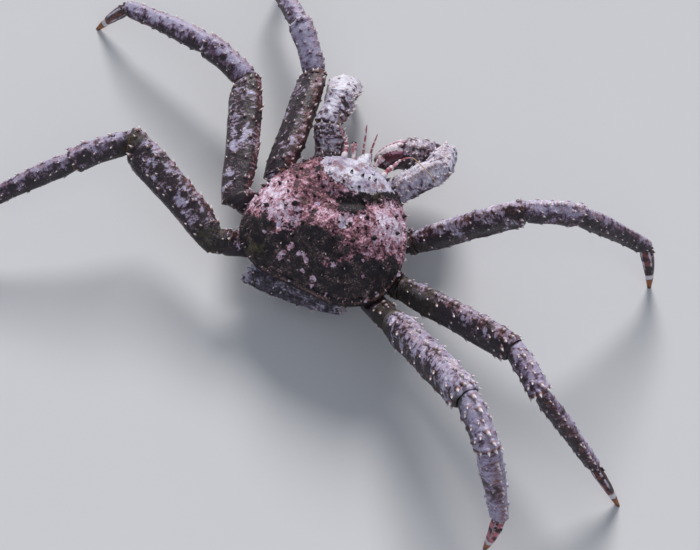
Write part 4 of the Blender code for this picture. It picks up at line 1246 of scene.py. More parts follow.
    def build(self) -> None:
        """Builds the shell and dresses it."""
        shell = self.dome()
        points = shell.points
        x, y = points[:, 0], points[:, 1]
        share = self.share(x, y)
        above = smooth(points[:, 2] - self.underside, 0.0015, 0.006)
        inner = above * (1 - smooth(share, 0.93, 1.0))
        back, back_feet, back_radii = self.back_spines()
        margin, margin_feet, margin_radii = self.margin_spines()
        bare, patch = blots(x, y, self.bare), within(x, y, self.patch)
        crust = self.crusted(x, y) - 0.46 * bare
        crust = crust + 0.6 * fractal(points, 0.012, 3, 33)
        patch = patch + 0.4 * fractal(points, 0.012, 3, 35)
        crusted, patched = smooth(crust, 0.38, 0.66), smooth(patch, 0.38, 0.62)
        folds = 1 - 2.2 * np.abs(fractal(points, 0.0082, 2, 19))
        grain = 0.8 * pebbles(points, 0.0078, 21) + 0.6 * pebbles(points, 0.0044, 23)
        grain = grain + 0.3 * pebbles(points, 0.0025, 29)
        roots = knolls(points, back_feet, 1.7 * back_radii)
        rim_roots = knolls(points, margin_feet, 1.7 * margin_radii)
        bumps = np.array(self.knobs) * MM
        knob = knolls(points, self.on_top(bumps[:, 0], bumps[:, 1]), 1.15 * bumps[:, 2])
        knob = knob * (1 + 0.75 * noise(points, 0.0042, 31) + 0.3 * noise(points, 0.002, 37))
        old = np.array(self.worn)
        spot = knolls(points, self.on_top(old[:, 0] * MM, old[:, 1] * MM), 2.3 * MM * old[:, 2])
        cover = (crusted + patched).clip(0, 1)
        amount = 1.5 * fractal(points, 0.022, 3, 11) + grain * (0.8 + 0.4 * np.maximum(crusted, patched))
        amount = inner * (amount + 0.6 * folds * crusted * (1 - patched) + 0.8 * cover - 0.8)
        ragged = above * bell(share, 0.975, 0.02) * noise(points, 0.006, 39)
        amount = amount + 0.9 * roots + 1.2 * rim_roots + ragged
        amount = amount + above * knob.clip(0, 1.6) ** 1.3 * 4.4 - 0.8 * spot * cover
        shell.swell(MM * amount)
        shell.values = {
            "crust": crust,
            "patch": patch,
            **{key: blots(x, y, getattr(self, key)) for key in self.blotches},
            "knob": knob,
            "spot": spot,
            # fold: the crust's raised folds and grains, which the finish paints paler, partly as painted
            # highlight
            "fold": np.clip(0.3 * folds + 0.4 * grain, 0, 1) * crusted,
            "edge": bell(share, 0.99, 0.012) * above,
            # Painted shade: the grooves, and the underside below the rim
            "hollow": np.clip(self.grooves(x, y), 0, 1) * inner * (1 - 0.7 * crusted) + (1 - above),
        }
        whole = joined([shell, back, margin, self.beak()])
        whole.piece("shell_back", ShellFinish("shell_crust"), "carapace", "shell")


# Thorax and abdomen


@dataclass
class Thorax:
    """The body under the shell, narrowing to a plated breast."""

    shell: Carapace
    levels: Knots = ((0.042, 0.46), (0.047, 0.56), (0.057, 0.72), (0.068, 0.81), (0.0777, 0.84))
    rows: int = 60
    around: int = 300

    def build(self) -> None:
        """Builds the walls as level, share -> outline * share, and a breast that closes to a point."""
        turns = ring(self.around)
        heights = np.linspace(self.levels[0][0], self.levels[-1][0], self.rows)
        shares = through(heights, self.levels)
        breast = np.linspace(0.04, 0.97, 34) * self.levels[0][1]
        shares = np.concatenate([breast, shares, (0.7, 0.3)])
        heights = np.r_[np.full(len(breast), self.levels[0][0]), heights, [self.levels[-1][0]] * 2]
        x, y = self.shell.place(turns[None, :], shares[:, None])
        skin = tube(np.stack([x, y, np.broadcast_to(heights[:, None], x.shape)], axis=-1))
        points = skin.points
        sectors = np.abs(((np.degrees(np.arctan2(points[:, 0], -points[:, 1])) + 96) % 24) - 12) / 12
        seams = smooth(sectors, 0.8, 1.0)
        low = 1 - smooth(points[:, 2], 0.072, 0.077)
        grain = 0.8 * fractal(points, 0.012, 3, 41) + 0.3 * pebbles(points, 0.004, 43)
        skin.swell(MM * low * (grain - 1.6 * seams) - 0.0004 * (1 - low))
        # Painted shade: the seams, and the sides up under the shell
        skin.values = {"hollow": seams * low, "side": smooth(points[:, 2], 0.05, 0.066)}
        skin.piece("breast_shell", BreastFinish("breast_cream"), "thorax", "breastplate")


@dataclass
class Abdomen:
    """The broad abdomen, folded round the rear and under the breast, in three lengths."""

    # y, z and half width
    stations: tuple[Row, ...] = (
        *((57.0, 77.4, 46), (71.5, 74.5, 54), (81.5, 64.0, 59), (80.0, 48.0, 58), (66.0, 34.5, 54)),
        *((40.0, 28.5, 49), (5.0, 27.5, 43), (-24.0, 30.0, 30), (-38.0, 34.5, 10)),
    )
    thickness: float = 0.013
    crown: float = 0.004
    offset_x: float = 0.005
    skew: float = 0.007
    plates: int = 6
    plate_step: float = 0.0012
    parts: tuple[tuple[str, float, float], ...] = (
        ("abdomen_base", 0.0, 0.42),
        ("abdomen_flap", 0.42, 0.84),
        ("telson", 0.84, 1.0),
    )

    def surface(self, shares: Array, across: Array, inner: Array) -> Array:
        """Points of the folded band.

        The middle line runs through the stations. A point lies at across * half width to the side, and
        crown * (1 - across^2) outside the line or, on the inner face, the thickness inside it. Towards
        the sides noise pulls the edge in and out.

        Args:
            shares: Places along the line, (n, 1).
            across: Places over its width from -1 to 1, (m,).
            inner: 0 on the outer face and 1 on the inner face, (m,).

        Returns:
            Points, (n, m, 3).
        """
        at = np.linspace(0.0, 1.0, len(self.stations))
        y_knots, z_knots, width_knots = (tuple(zip(at, column)) for column in zip(*self.stations))
        step = 0.002
        y, z = MM * through(shares, y_knots), MM * through(shares, z_knots)
        run = through(shares + step, y_knots) - through(shares - step, y_knots)
        climb = through(shares + step, z_knots) - through(shares - step, z_knots)
        length = np.hypot(run, climb)
        plate = np.cos(math.tau * self.plates * shares)
        sides = np.stack(np.broadcast_arrays(shares, np.sign(across) + 3.0, 0.5), axis=-1)
        ragged = 0.6 * noise(sides, 0.045, 63) + noise(sides, 0.021, 61) + 0.7 * noise(sides, 0.0085, 62)
        margin = smooth(np.abs(across), 0.8, 1.0)
        width = MM * through(shares, width_knots) * (1 + 0.025 * plate + margin * (0.075 * ragged - 0.02))
        crown = self.crown * (1 - across**2) + self.plate_step * plate * (1 - across**4)
        inward = np.where(inner > 0.5, self.thickness * (1 - 0.75 * across**6), -crown)
        y = y + across * self.skew + inward * climb / length
        return np.stack([self.offset_x + across * width, y, z - inward * run / length], axis=-1)

    def thorns(self, first: float, last: float) -> Skin:
        """Small, uneven spines along both side edges of a length, and a few over its outer face.

        Args:
            first: Where the length starts, as a share of the folded band.
            last: Where it ends.

        Returns:
            The spines.
        """
        draws = np.random.default_rng(round(first * 100) + 3)
        count = round((last - first) * 190)
        shares = draws.uniform(first + 0.012, last - 0.012, count)
        edge = np.arange(count) % 9 > 3
        sign = np.where(np.arange(count) % 2, 0.985, -0.985)
        across = sign * np.where(edge, 1.0, draws.uniform(0.0, 0.95, count))
        shares, across = np.r_[shares, shares, shares + 0.01], np.r_[across, 0.9 * across, across]
        places = zip(shares[:, None, None], across[:, None])
        found = np.concatenate([self.surface(share, place, np.zeros(1))[0] for share, place in places])
        feet, inside, beyond = found.reshape(3, count, 3)
        outward, along = unit(feet - inside), unit(beyond - feet)
        outside = np.cross(outward, along) * np.sign(across[:count, None])
        drift = 0.4 * along * draws.uniform(-1, 1, (count, 1))
        aim = unit(outside + np.where(edge, 1.7, 0.2)[:, None] * outward + drift)
        lengths = draws.uniform(0.002, 0.0052, count)
        return spines(feet, aim, np.zeros((count, 3)), lengths, 0.42 * lengths)

    def build(self) -> None:
        """Builds the three lengths and dresses them."""
        face = np.sin(np.linspace(-1.0, 1.0, 130) * math.pi / 2)
        across = np.concatenate([face, np.linspace(0.93, -0.93, 50)])
        inner = np.repeat((0.0, 1.0), (130, 50))
        for name, first, last in self.parts:
            shares = np.linspace(first, last, max(30, round((last - first) * 330)))[:, None]
            values = {"edge": np.abs(across) ** 12, "inner": inner, "share": shares}
            skin = tube(self.surface(shares, across, inner), values)
            points, share = skin.points, skin.values.pop("share")
            seams = bell((share * self.plates) % 1.0, 0.5, 0.05)
            outside = 1 - skin.values["inner"]
            grains = pebbles(points, 0.0062, 51) * 0.9 + pebbles(points, 0.0032, 53) * 0.5
            ends = window(share, (first, first + 0.008), (last - 0.008, last))
            skin.swell(MM * outside * ends * (grains + 0.6 * fractal(points, 0.014, 3, 57) - 1.2 * seams))
            skin.values["raised"] = outside * grains
            whole = joined([skin, self.thorns(first, last)])
            whole.piece(f"{name}_plates", AbdomenFinish("abdomen_plates"), name, "tail_plates")


# Limbs


ROUNDNESS = 0.86
MITRE_REACH = 1.5
BEND_NARROWING = 0.4
PROFILES: dict[str, Knots] = {
    "base": ((0.0, 0.9), (0.5, 0.98), (0.9, 1.0), (1.0, 0.9)),
    "merus": ((0.0, 0.78), (0.12, 0.91), (0.45, 0.96), (0.82, 1.0), (0.94, 0.95), (1.0, 0.8)),
    "carpus": ((0.0, 0.92), (0.14, 0.98), (0.5, 0.97), (0.84, 1.03), (0.94, 1.0), (1.0, 0.86)),
    "propodus": ((0.0, 0.92), (0.1, 1.0), (0.3, 1.0), (0.7, 0.84), (0.93, 0.78), (1.0, 0.7)),
    "dactyl": ((0.0, 0.84), (0.12, 0.98), (0.4, 0.86), (0.75, 0.56), (1.0, 0.26)),
    "palm": ((0.0, 0.64), (0.16, 0.86), (0.5, 1.0), (0.85, 0.98), (1.0, 0.86)),
}
BOWS = {"base": 0.0, "merus": 0.003, "carpus": 0.0025, "propodus": 0.002, "dactyl": 0.002, "palm": 0.0}
# How far the far rim draws back on the underside, in millimetres, like the notch where a real joint folds
RECESSES = {"base": 2.0, "merus": 4.0, "carpus": 3.0, "propodus": 2.0}

# Spine rows: degrees from the crest, first and last share of the length, count, length in millimetres
SPINE_ROWS: dict[str, tuple[Row, ...]] = {
    "base": ((0, 0.8, 0.9, 2, 3.6), (50, 0.84, 0.9, 2, 3.0), (-50, 0.84, 0.9, 2, 3.0)),
    "merus": (
        *((0, 0.05, 0.86, 11, 4.6), (22, 0.14, 0.8, 4, 2.2), (-22, 0.1, 0.84, 4, 2.2)),
        *((50, 0.1, 0.86, 6, 3.4), (-50, 0.12, 0.86, 6, 3.4), (84, 0.16, 0.86, 5, 2.6)),
        *((-84, 0.14, 0.84, 5, 2.6), (118, 0.12, 0.88, 7, 3.0), (-118, 0.12, 0.88, 7, 3.0)),
        (165, 0.2, 0.86, 4, 2.2),
    ),
    "carpus": (
        *((0, 0.12, 0.82, 5, 5.0), (34, 0.24, 0.74, 3, 3.0), (-34, 0.22, 0.72, 3, 3.0)),
        *((70, 0.3, 0.78, 3, 3.0), (-70, 0.28, 0.76, 3, 3.0), (115, 0.26, 0.8, 3, 2.6)),
        (-115, 0.26, 0.8, 3, 2.6),
    ),
    "propodus": (
        *((0, 0.06, 0.86, 10, 3.6), (48, 0.12, 0.7, 4, 2.2), (-48, 0.1, 0.72, 4, 2.2)),
        *((88, 0.12, 0.8, 7, 2.6), (-88, 0.12, 0.8, 7, 2.6), (135, 0.18, 0.7, 4, 2.2)),
        *((-135, 0.18, 0.7, 4, 2.2), (180, 0.14, 0.8, 6, 2.6)),
    ),
    "dactyl": ((0, 0.06, 0.2, 2, 2.4), (60, 0.06, 0.16, 2, 2.0), (-60, 0.06, 0.16, 2, 2.0)),
    "palm": (
        *((0, 0.1, 0.9, 8, 4.6), (28, 0.22, 0.78, 4, 2.6), (-28, 0.18, 0.76, 4, 2.6)),
        *((58, 0.28, 0.8, 4, 3.0), (-58, 0.26, 0.78, 4, 3.0), (95, 0.3, 0.84, 3, 2.6)),
        *((-95, 0.3, 0.84, 3, 2.6), (140, 0.3, 0.74, 3, 2.2), (-140, 0.3, 0.74, 3, 2.2)),
    ),
}
# Spines round the far rim: share of the length, degrees from the crest, length in millimetres
RIM_SPINES: dict[str, tuple[float, Row, float]] = {
    "base": (0.9, (0, 120, -120), 2.6),
    "merus": (0.955, (-112, -82, -52, -22, 6, 36, 66, 96, 124), 4.6),
    "carpus": (0.955, (-115, -76, -40, -6, 28, 62, 100), 4.4),
    "propodus": (0.965, (-140, -105, -70, -35, 0, 35, 70, 105, 140), 1.9),
}
# Edges that run along a segment: degrees from the crest, and height in millimetres
RIDGES: dict[str, Knots] = {
    "merus": ((0, 1.1), (112, 0.9), (-112, 0.9)),
    "carpus": ((0, 1.0), (105, 0.6), (-105, 0.6)),
    "propodus": ((0, 0.7), (92, 0.5), (-92, 0.5)),
    "palm": ((0, 1.0), (90, 0.5), (-90, 0.5)),
}
# Olive-stained joints: x, y, z and radius, in millimetres
STAINS: tuple[Row, ...] = (
    *((-106, 25, 76, 34), (-150, 30, 92, 22), (249, 16, 103, 17), (115, 66, 78, 20)),
    *((45, -79, 66, 18), (-93, -36, 73, 16), (-115, 69, 84, 22), (-254, 55, 120, 12)),
    *((-198, -88, 142, 9), (117, -183, 60, 16), (-238, 141, 148, 17), (-74, -152, 66, 8)),
)
# Rings of the knuckle behind a segment, and of the socket past its far rim: each ring's size as a
# share of the rim's, and how far back it lies, in millimetres
KNUCKLE: Knots = ((0.35, 5.0), (0.62, 4.8), (0.76, 3.9), (0.86, 2.4), (0.91, 0.9))
SOCKET: Knots = (
    *((0.985, -0.25), (0.955, -0.2), (0.93, 0.2), (0.9, 1.4)),
    *((0.84, 3.4), (0.55, 5.0), (0.2, 5.4)),
)


def drawn_in(rim: Array, plane: Array, table: Knots) -> Array:
    """Rings made from a rim's points, (rings, m, 3): each drawn in to its middle and set back."""
    sizes, back = np.array(table).T[:, :, None, None]
    return rim.mean(axis=0) + (rim - rim.mean(axis=0)) * sizes - back * MM * plane


def blunt(values: Array) -> Array:
    """Makes the cosines or sines of a circle those of a blunt oval: sign(c) * |c|^ROUNDNESS."""
    return np.sign(values) * np.abs(values) ** ROUNDNESS


def knuckled(along: Array, turns: Array) -> dict[str, Array]:
    """Values of a tube that starts with a knuckle's rings: along, turn, crest and hinge.

    Args:
        along: Share of the length at each ring after the knuckle, (n,).
        turns: Turns round a ring, (1, m).

    Returns:
        The named values.
    """
    hidden = np.zeros(len(KNUCKLE))
    return {
        "along": np.r_[hidden, along][:, None],
        "hinge": np.r_[hidden + 1, np.zeros(len(along))][:, None],
        "crest": np.cos(turns),
        "turn": turns,
    }


# How far the rows' spines stray along a segment and, in degrees, round it; the crest's own stray half
ROW_STRAY, ROW_TURN = 0.04, 9.0
RIM_STRAY, RIM_TURN = 0.006, 7.0
# How far spines lean to the far end, and how far past a joint's plane one may reach
SPINE_LEAN, SPINE_OVERHANG = 0.8, 0.001
# Length drawn against length listed, radius against length, and what the root adds to it
SPINE_LENGTHENING, SPINE_STOUTNESS, SPINE_ROOT = 1.4, 0.38, 0.0006


@dataclass
class Segment:
    """An oval tube from one joint to the next, mitred at both."""

    kind: str
    start: Array
    end: Array
    start_plane: Array
    end_plane: Array
    crest: Array
    section: tuple[float, float, float]

    def __post_init__(self) -> None:
        """Sets the axes and draws the ends back by half the gap."""
        self.axis = unit(self.end - self.start)
        self.start = self.start + self.axis * GAP / 2 / (self.axis @ self.start_plane)
        self.end = self.end - self.axis * GAP / 2 / (self.axis @ self.end_plane)
        self.length = float(np.linalg.norm(self.end - self.start))
        self.crest = unit(self.crest - self.axis * (self.axis @ self.crest))
        self.side = np.cross(self.axis, self.crest)
        self.thickness, self.height, self.taper = self.section

    def surface(self, shares: Array, turns: Array) -> Array:
        """Points of the tube: an oval about a bowed line, slid along the axis into a tilted plane.

        The plane turns from the start's to the end's, and the oval's size follows the kind's profile.

        Args:
            shares: Places along the length.
            turns: Turns from the crest; both broadcast together.

        Returns:
            Points, (..., 3).
        """
        shares, turns = np.broadcast_arrays(shares, turns)
        near = (self.start_plane - self.axis) * ((1 - shares) ** MITRE_REACH)[..., None]
        far = (self.end_plane - self.axis) * (shares**MITRE_REACH)[..., None]
        full = through(shares, PROFILES[self.kind]) * (1 + self.taper * (0.5 - shares)) / 2
        sharp_start = (1 - self.axis @ self.start_plane) * (1 - shares) ** 4
        sharp_end = (1 - self.axis @ self.end_plane) * shares**4
        full = full * (1 - BEND_NARROWING * (sharp_start + sharp_end))
        plane = unit(self.axis + near + far)
        up, out = self.height * full * blunt(np.cos(turns)), self.thickness * full * blunt(np.sin(turns))
        offset = up[..., None] * self.crest + out[..., None] * self.side
        slide = -(offset * plane).sum(axis=-1) / (plane @ self.axis)
        bow = (BOWS[self.kind] * np.sin(math.pi * shares))[..., None] * self.crest
        centre = self.start + (self.end - self.start) * shares[..., None] + bow
        return centre + offset + slide[..., None] * self.axis

    def recessed(self, points: Array, shares: Array, turns: Array) -> Array:
        """Points with the far rim drawn back: r * ((1 - cos turn) / 2)^1.3, plus shallow scallops.

        Args:
            points: Points of the surface, (..., 3).
            shares: Their places along the length.
            turns: Their turns from the crest.

        Returns:
            The points, drawn back along the axis.
        """
        back = RECESSES.get(self.kind, 0.0) * ((1 - np.cos(turns)) / 2) ** 1.3
        back = back + 0.7 * np.abs(np.sin(3.5 * turns + 0.6)) * (self.kind in ("merus", "carpus"))
        ease = smooth(shares * self.length, self.length - 0.016, self.length)
        return points - (back * ease * MM)[..., None] * self.axis

    def weave(self, points: Array) -> Array:
        """Places for noise that follows the segment, squeezed along it."""
        return np.stack([2.4 * (points @ self.axis), points @ self.side, points @ self.crest], axis=-1)

    def spines(self, scale: float, seed: int) -> tuple[Skin, Array, Array]:
        """Rows of spines along the segment and round its far rim, leaning to its far end.

        Args:
            scale: Size of the spines.
            seed: Seed of their stray.

        Returns:
            The spines, with their feet and radii.
        """
        draws = np.random.default_rng(seed)
        shares, degrees, lengths = [], [], []
        for turn, first, last, count, length in SPINE_ROWS[self.kind]:
            shares.append(np.linspace(first, last, count) + draws.uniform(-ROW_STRAY, ROW_STRAY, count))
            degrees.append(turn + draws.uniform(-ROW_TURN, ROW_TURN, count) * (0.5 if turn == 0 else 1.0))
            lengths.append(length * draws.uniform(0.55, 1.2, count))
        share, turns, length = RIM_SPINES.get(self.kind, (0.0, (), 0.0))
        shares.append(np.full(len(turns), share) + draws.uniform(-RIM_STRAY, RIM_STRAY, len(turns)))
        degrees.append(np.array(turns) + draws.uniform(-RIM_TURN, RIM_TURN, len(turns)))
        lengths.append(length * draws.uniform(0.6, 1.1, len(turns)))
        shares, turns = np.concatenate(shares), np.radians(np.concatenate(degrees))
        lengths = np.concatenate(lengths) * MM * scale
        step = 0.01
        feet = self.recessed(self.surface(shares, turns), shares, turns)
        around = self.surface(shares, turns + step) - self.surface(shares, turns)
        along = self.surface(np.minimum(shares + step, 1.0), turns) - self.surface(shares - step, turns)
        directions = unit(unit(np.cross(around, along)) + SPINE_LEAN * self.axis)
        tips = feet + directions * lengths[:, None]
        over = np.maximum((tips - self.end) @ self.end_plane, (self.start - tips) @ self.start_plane)
        kept = over < SPINE_OVERHANG
        feet, directions, lengths = feet[kept], directions[kept], lengths[kept] * SPINE_LENGTHENING
        radii = lengths * SPINE_STOUTNESS + SPINE_ROOT
        bends = np.tile(0.15 * self.axis, (len(feet), 1))
        return spines(feet, directions, bends, lengths, radii), feet, radii

    def skin(self, cell: float, scale: float, seed: int) -> Skin:
        """The dressed surface, from inside the near neck to inside the far socket.

        A socket ring is the last ring drawn in and pulled back into the tube.

        Args:
            cell: About how far apart points lie.
            scale: Size of the spines.
            seed: Seed of their stray.

        Returns:
            The skin with its spines.
        """
        rows = max(12, round(self.length / cell))
        around = max(20, round(math.pi * (self.height + self.thickness) / 2 / cell / 2) * 2)
        turns = ring(around)[None, :]
        shares = np.linspace(0.0, 1.0, rows)[:, None]
        body = self.recessed(self.surface(shares, turns), shares, turns)
        neck = drawn_in(body[0], self.start_plane, KNUCKLE)
        socket = drawn_in(body[-1], self.end_plane, SOCKET)
        values = knuckled(np.r_[shares[:, 0], np.ones(len(SOCKET))], turns)
        # Painted shade on the socket's inner rings, drawn back into the tube
        values["hollow"] = np.r_[np.zeros(rows + len(SOCKET)), (0.1, 0.6, 1.0, 1.0, 1.0)][:, None]
        return self.finished(tube(np.concatenate([neck, body, socket]), values), scale, seed)

    def finished(self, body: Skin, scale: float, seed: int) -> Skin:
        """Adds ridges, a lip at the far rim, grain and spines to a plain body.

        Args:
            body: The plain body.
            scale: Size of the spines.
            seed: Seed of their stray.

        Returns:
            The skin with its spines.
        """
        points, values = body.points, body.values
        along, cover = values["along"], 1 - values["hinge"]
        thorns, feet, radii = self.spines(scale, seed)
        roots = knolls(points, feet, 1.75 * radii)
        full = self.length / MM
        reach = along * full
        grain = 0.24 * pebbles(points, 0.0036, 61) + 0.16 * noise(points, 0.0017, 67)
        amount = 0.62 * fractal(points, 0.014, 3, 71) + grain - 0.15
        turn = np.degrees(values.pop("turn"))
        between = window(along, (0.03, 0.18), (0.9, 0.98))
        for middle, height in RIDGES.get(self.kind, ()):
            away = (turn - middle + 180) % 360 - 180
            amount = amount + height * between * bell(away, 0, 9.0) * (1 + 0.5 * noise(points, 0.006, 69))
        if self.kind == "propodus":
            waves = np.sin(math.tau * reach / 2.6 + 2.0 * noise(points, 0.008, 73))
            amount = amount + 0.3 * waves * window(along, (0.66, 0.8), (0.9, 0.95))
            amount = amount + 0.7 * bell(along, 0.95, 0.03)
        elif self.kind == "base":
            amount = amount - 1.8 * bell((along * 3) % 1.0, 0.5, 0.07) * smooth(along, 0.2, 0.3)
        if self.kind in ("merus", "carpus", "base"):
            amount = amount + 0.8 * bell(reach, full - 2.5, 2.2) - 0.5 * bell(reach, full - 9.0, 3.0)
        body.swell(MM * (amount + 0.7 * roots) * cover)
        values["tip"] = 0.16 * roots**2
        values["weave"] = self.weave(points)
        return joined([body, thorns])


@dataclass
class Limb:
    """One limb: its joints in millimetres, and the kinds, sections and finishes of its segments."""

    name: str
    joints: tuple[Row, ...]
    kinds: tuple[str, ...]
    sections: dict[str, tuple[float, float, float]]
    tones: dict[str, Tone]
    gloom: dict[str, float]
    seed: int
    scale: float

    def axes(self) -> Array:
        """Directions from joint to joint."""
        return unit(np.diff(np.array(self.joints, float), axis=0))

    def crests(self) -> Array:
        """The direction in which each segment's upper edge faces; each kind of limb has its own."""
        raise NotImplementedError

    def segments(self) -> list[Segment]:
        """The segments, each joint's plane halving the bend there.

        Returns:
            One segment for each kind.
        """
        axes, crests = self.axes(), self.crests()
        line = np.array(self.joints) * MM
        planes = [axes[0], *(unit(a + b) for a, b in zip(axes, axes[1:])), axes[-1]]
        planes[len(self.kinds)] = axes[len(self.kinds) - 1]
        return [
            Segment(kind, line[i], line[i + 1], planes[i], planes[i + 1], crests[i], self.sections[kind])
            for i, kind in enumerate(self.kinds)
        ]

    def dress(self, skin: Skin, kind: str) -> None:
        """Adds a segment's stains and makes it a piece.

        Args:
            skin: The segment's skin.
            kind: The segment's kind.
        """
        points = skin.points
        stains = [1 - 0.5 * np.linalg.norm(points / MM - place, axis=1) / radius for *place, radius in STAINS]
        skin.values["olive"] = np.clip(np.max(stains, axis=0), 0, 1)
        # gloom: a painted darkening or paling of the whole segment, partly its own tone and partly painted
        # light and shade
        skin.values["gloom"] = np.full(len(points), self.gloom.get(kind, 0.0))
        slot = "claw_tips" if kind == "dactyl" else "limb_shell"
        skin.piece(f"{self.name}_{kind}_shell", self.tones[kind].value, f"{self.name}_{kind}", slot)


SHELL_FLOOR = 0.0776


def under_shell(skin: Skin, shell: Carapace) -> Skin:
    """Presses what lies under the shell down to its underside, easing in over the margin.

    Args:
        skin: What is pressed.
        shell: The shell.

    Returns:
        The same skin.
    """
    covered = 1 - smooth(shell.share(skin.points[:, 0], skin.points[:, 1]), 1.0, 1.09)
    skin.points[:, 2] -= covered * np.maximum(skin.points[:, 2] - SHELL_FLOOR, 0.0)
    return skin


LEG_KINDS = ("base", "merus", "carpus", "propodus", "dactyl")
LEG_SECTIONS = {
    "base": (0.026, 0.03, 0.0),
    "merus": (0.025, 0.04, 0.0),
    "carpus": (0.023, 0.029, 0.0),
    "propodus": (0.019, 0.025, 0.0),
    "dactyl": (0.0125, 0.0155, 0.0),
}
# How far apart points lie on a leg and on a claw arm
LEG_CELL, ARM_CELL = 0.00098, 0.00095


@dataclass
class Leg(Limb):
    """A walking leg of five segments, standing on a small flat."""

    roll: float = 0.0
    blush: float = 0.0
    bends: tuple[int, ...] = (1, 2, 3)

    def crests(self) -> Array:
        """The back faces out of the bend, in the plane in which the leg bends, turned by its roll.

        Returns:
            Unit directions, one a segment.
        """
        axes = self.axes()
        hinge = unit(sum(np.cross(axes[bend], axes[bend + 1]) for bend in self.bends))
        crests = unit(np.cross(axes, hinge))
        cosine, sine = math.cos(math.radians(self.roll)), math.sin(math.radians(self.roll))
        return cosine * crests + sine * np.cross(axes, crests)

    def toe(self, segment: Segment, seed: int) -> Skin:
        """The last segment: its rows are spread so that the last one meets the floor all round.

        Args:
            segment: The segment.
            seed: Seed of its spines' stray.

        Returns:
            The skin with its spines.
        """
        turns = ring(48)[None, :]
        rows = np.linspace(0.0, 1.0, 60)
        trial = np.linspace(0.6, 1.0, 60)
        heights = segment.surface(trial[:, None], turns)[..., 2]
        meets = np.array([np.interp(0.0, column[::-1], trial[::-1]) for column in heights.T])
        body = segment.surface(rows[:, None] * meets, turns)
        foot = body[-1].mean(axis=0) + (body[-1] - body[-1].mean(axis=0)) * 0.5
        values = knuckled(np.r_[rows, 1.0], turns)
        values.pop("crest")
        neck = drawn_in(body[0], segment.start_plane, KNUCKLE)
        skin = tube(np.concatenate([neck, body, foot[None]]), values)
        along, turn = skin.values["along"], skin.values.pop("turn")
        cover = (1 - smooth(along, 0.8, 0.95)) * (1 - skin.values["hinge"])
        skin.values["rib"] = 0.5 + 0.5 * np.cos(5 * turn)
        ribs = 0.5 * skin.values["rib"] * smooth(along, 0.05, 0.3)
        amount = 0.45 * fractal(skin.points, 0.008, 3, 81) + ribs
        skin.swell(MM * (amount - 0.2) * cover)
        whole = joined([skin, segment.spines(1.0, seed)[0]])
        whole.values["blush"] = np.full(len(whole.points), self.blush)
        return whole

    def build(self, shell: Carapace) -> None:
        """Builds and dresses the five segments.

        Args:
            shell: The shell, under which the base is pressed.
        """
        for index, segment in enumerate(self.segments()):
            seed = self.seed + index
            if segment.kind == "dactyl":
                self.dress(self.toe(segment, seed), segment.kind)
                continue
            skin = segment.skin(LEG_CELL, self.scale, seed)
            self.dress(under_shell(skin, shell) if segment.kind == "base" else skin, segment.kind)


# Distance from the hand's middle and half height as shares of the palm's height, and half thickness
# as a share of its thickness, along a finger
FINGER_OFFSET: Knots = ((0.0, 0.245), (0.5, 0.25), (0.8, 0.17), (1.0, 0.075))
FINGER_HEIGHT: Knots = ((0.0, 0.215), (0.4, 0.19), (0.75, 0.12), (0.94, 0.065), (1.0, 0.028))
FINGER_THICKNESS: Knots = ((0.0, 0.36), (0.4, 0.3), (0.75, 0.19), (0.94, 0.11), (1.0, 0.045))
# Teeth: share of the finger's length, and height in millimetres
TEETH: Knots = ((0.16, 1.5), (0.29, 2.0), (0.42, 1.5), (0.54, 1.1), (0.65, 1.0), (0.76, 0.8), (0.87, 0.6))


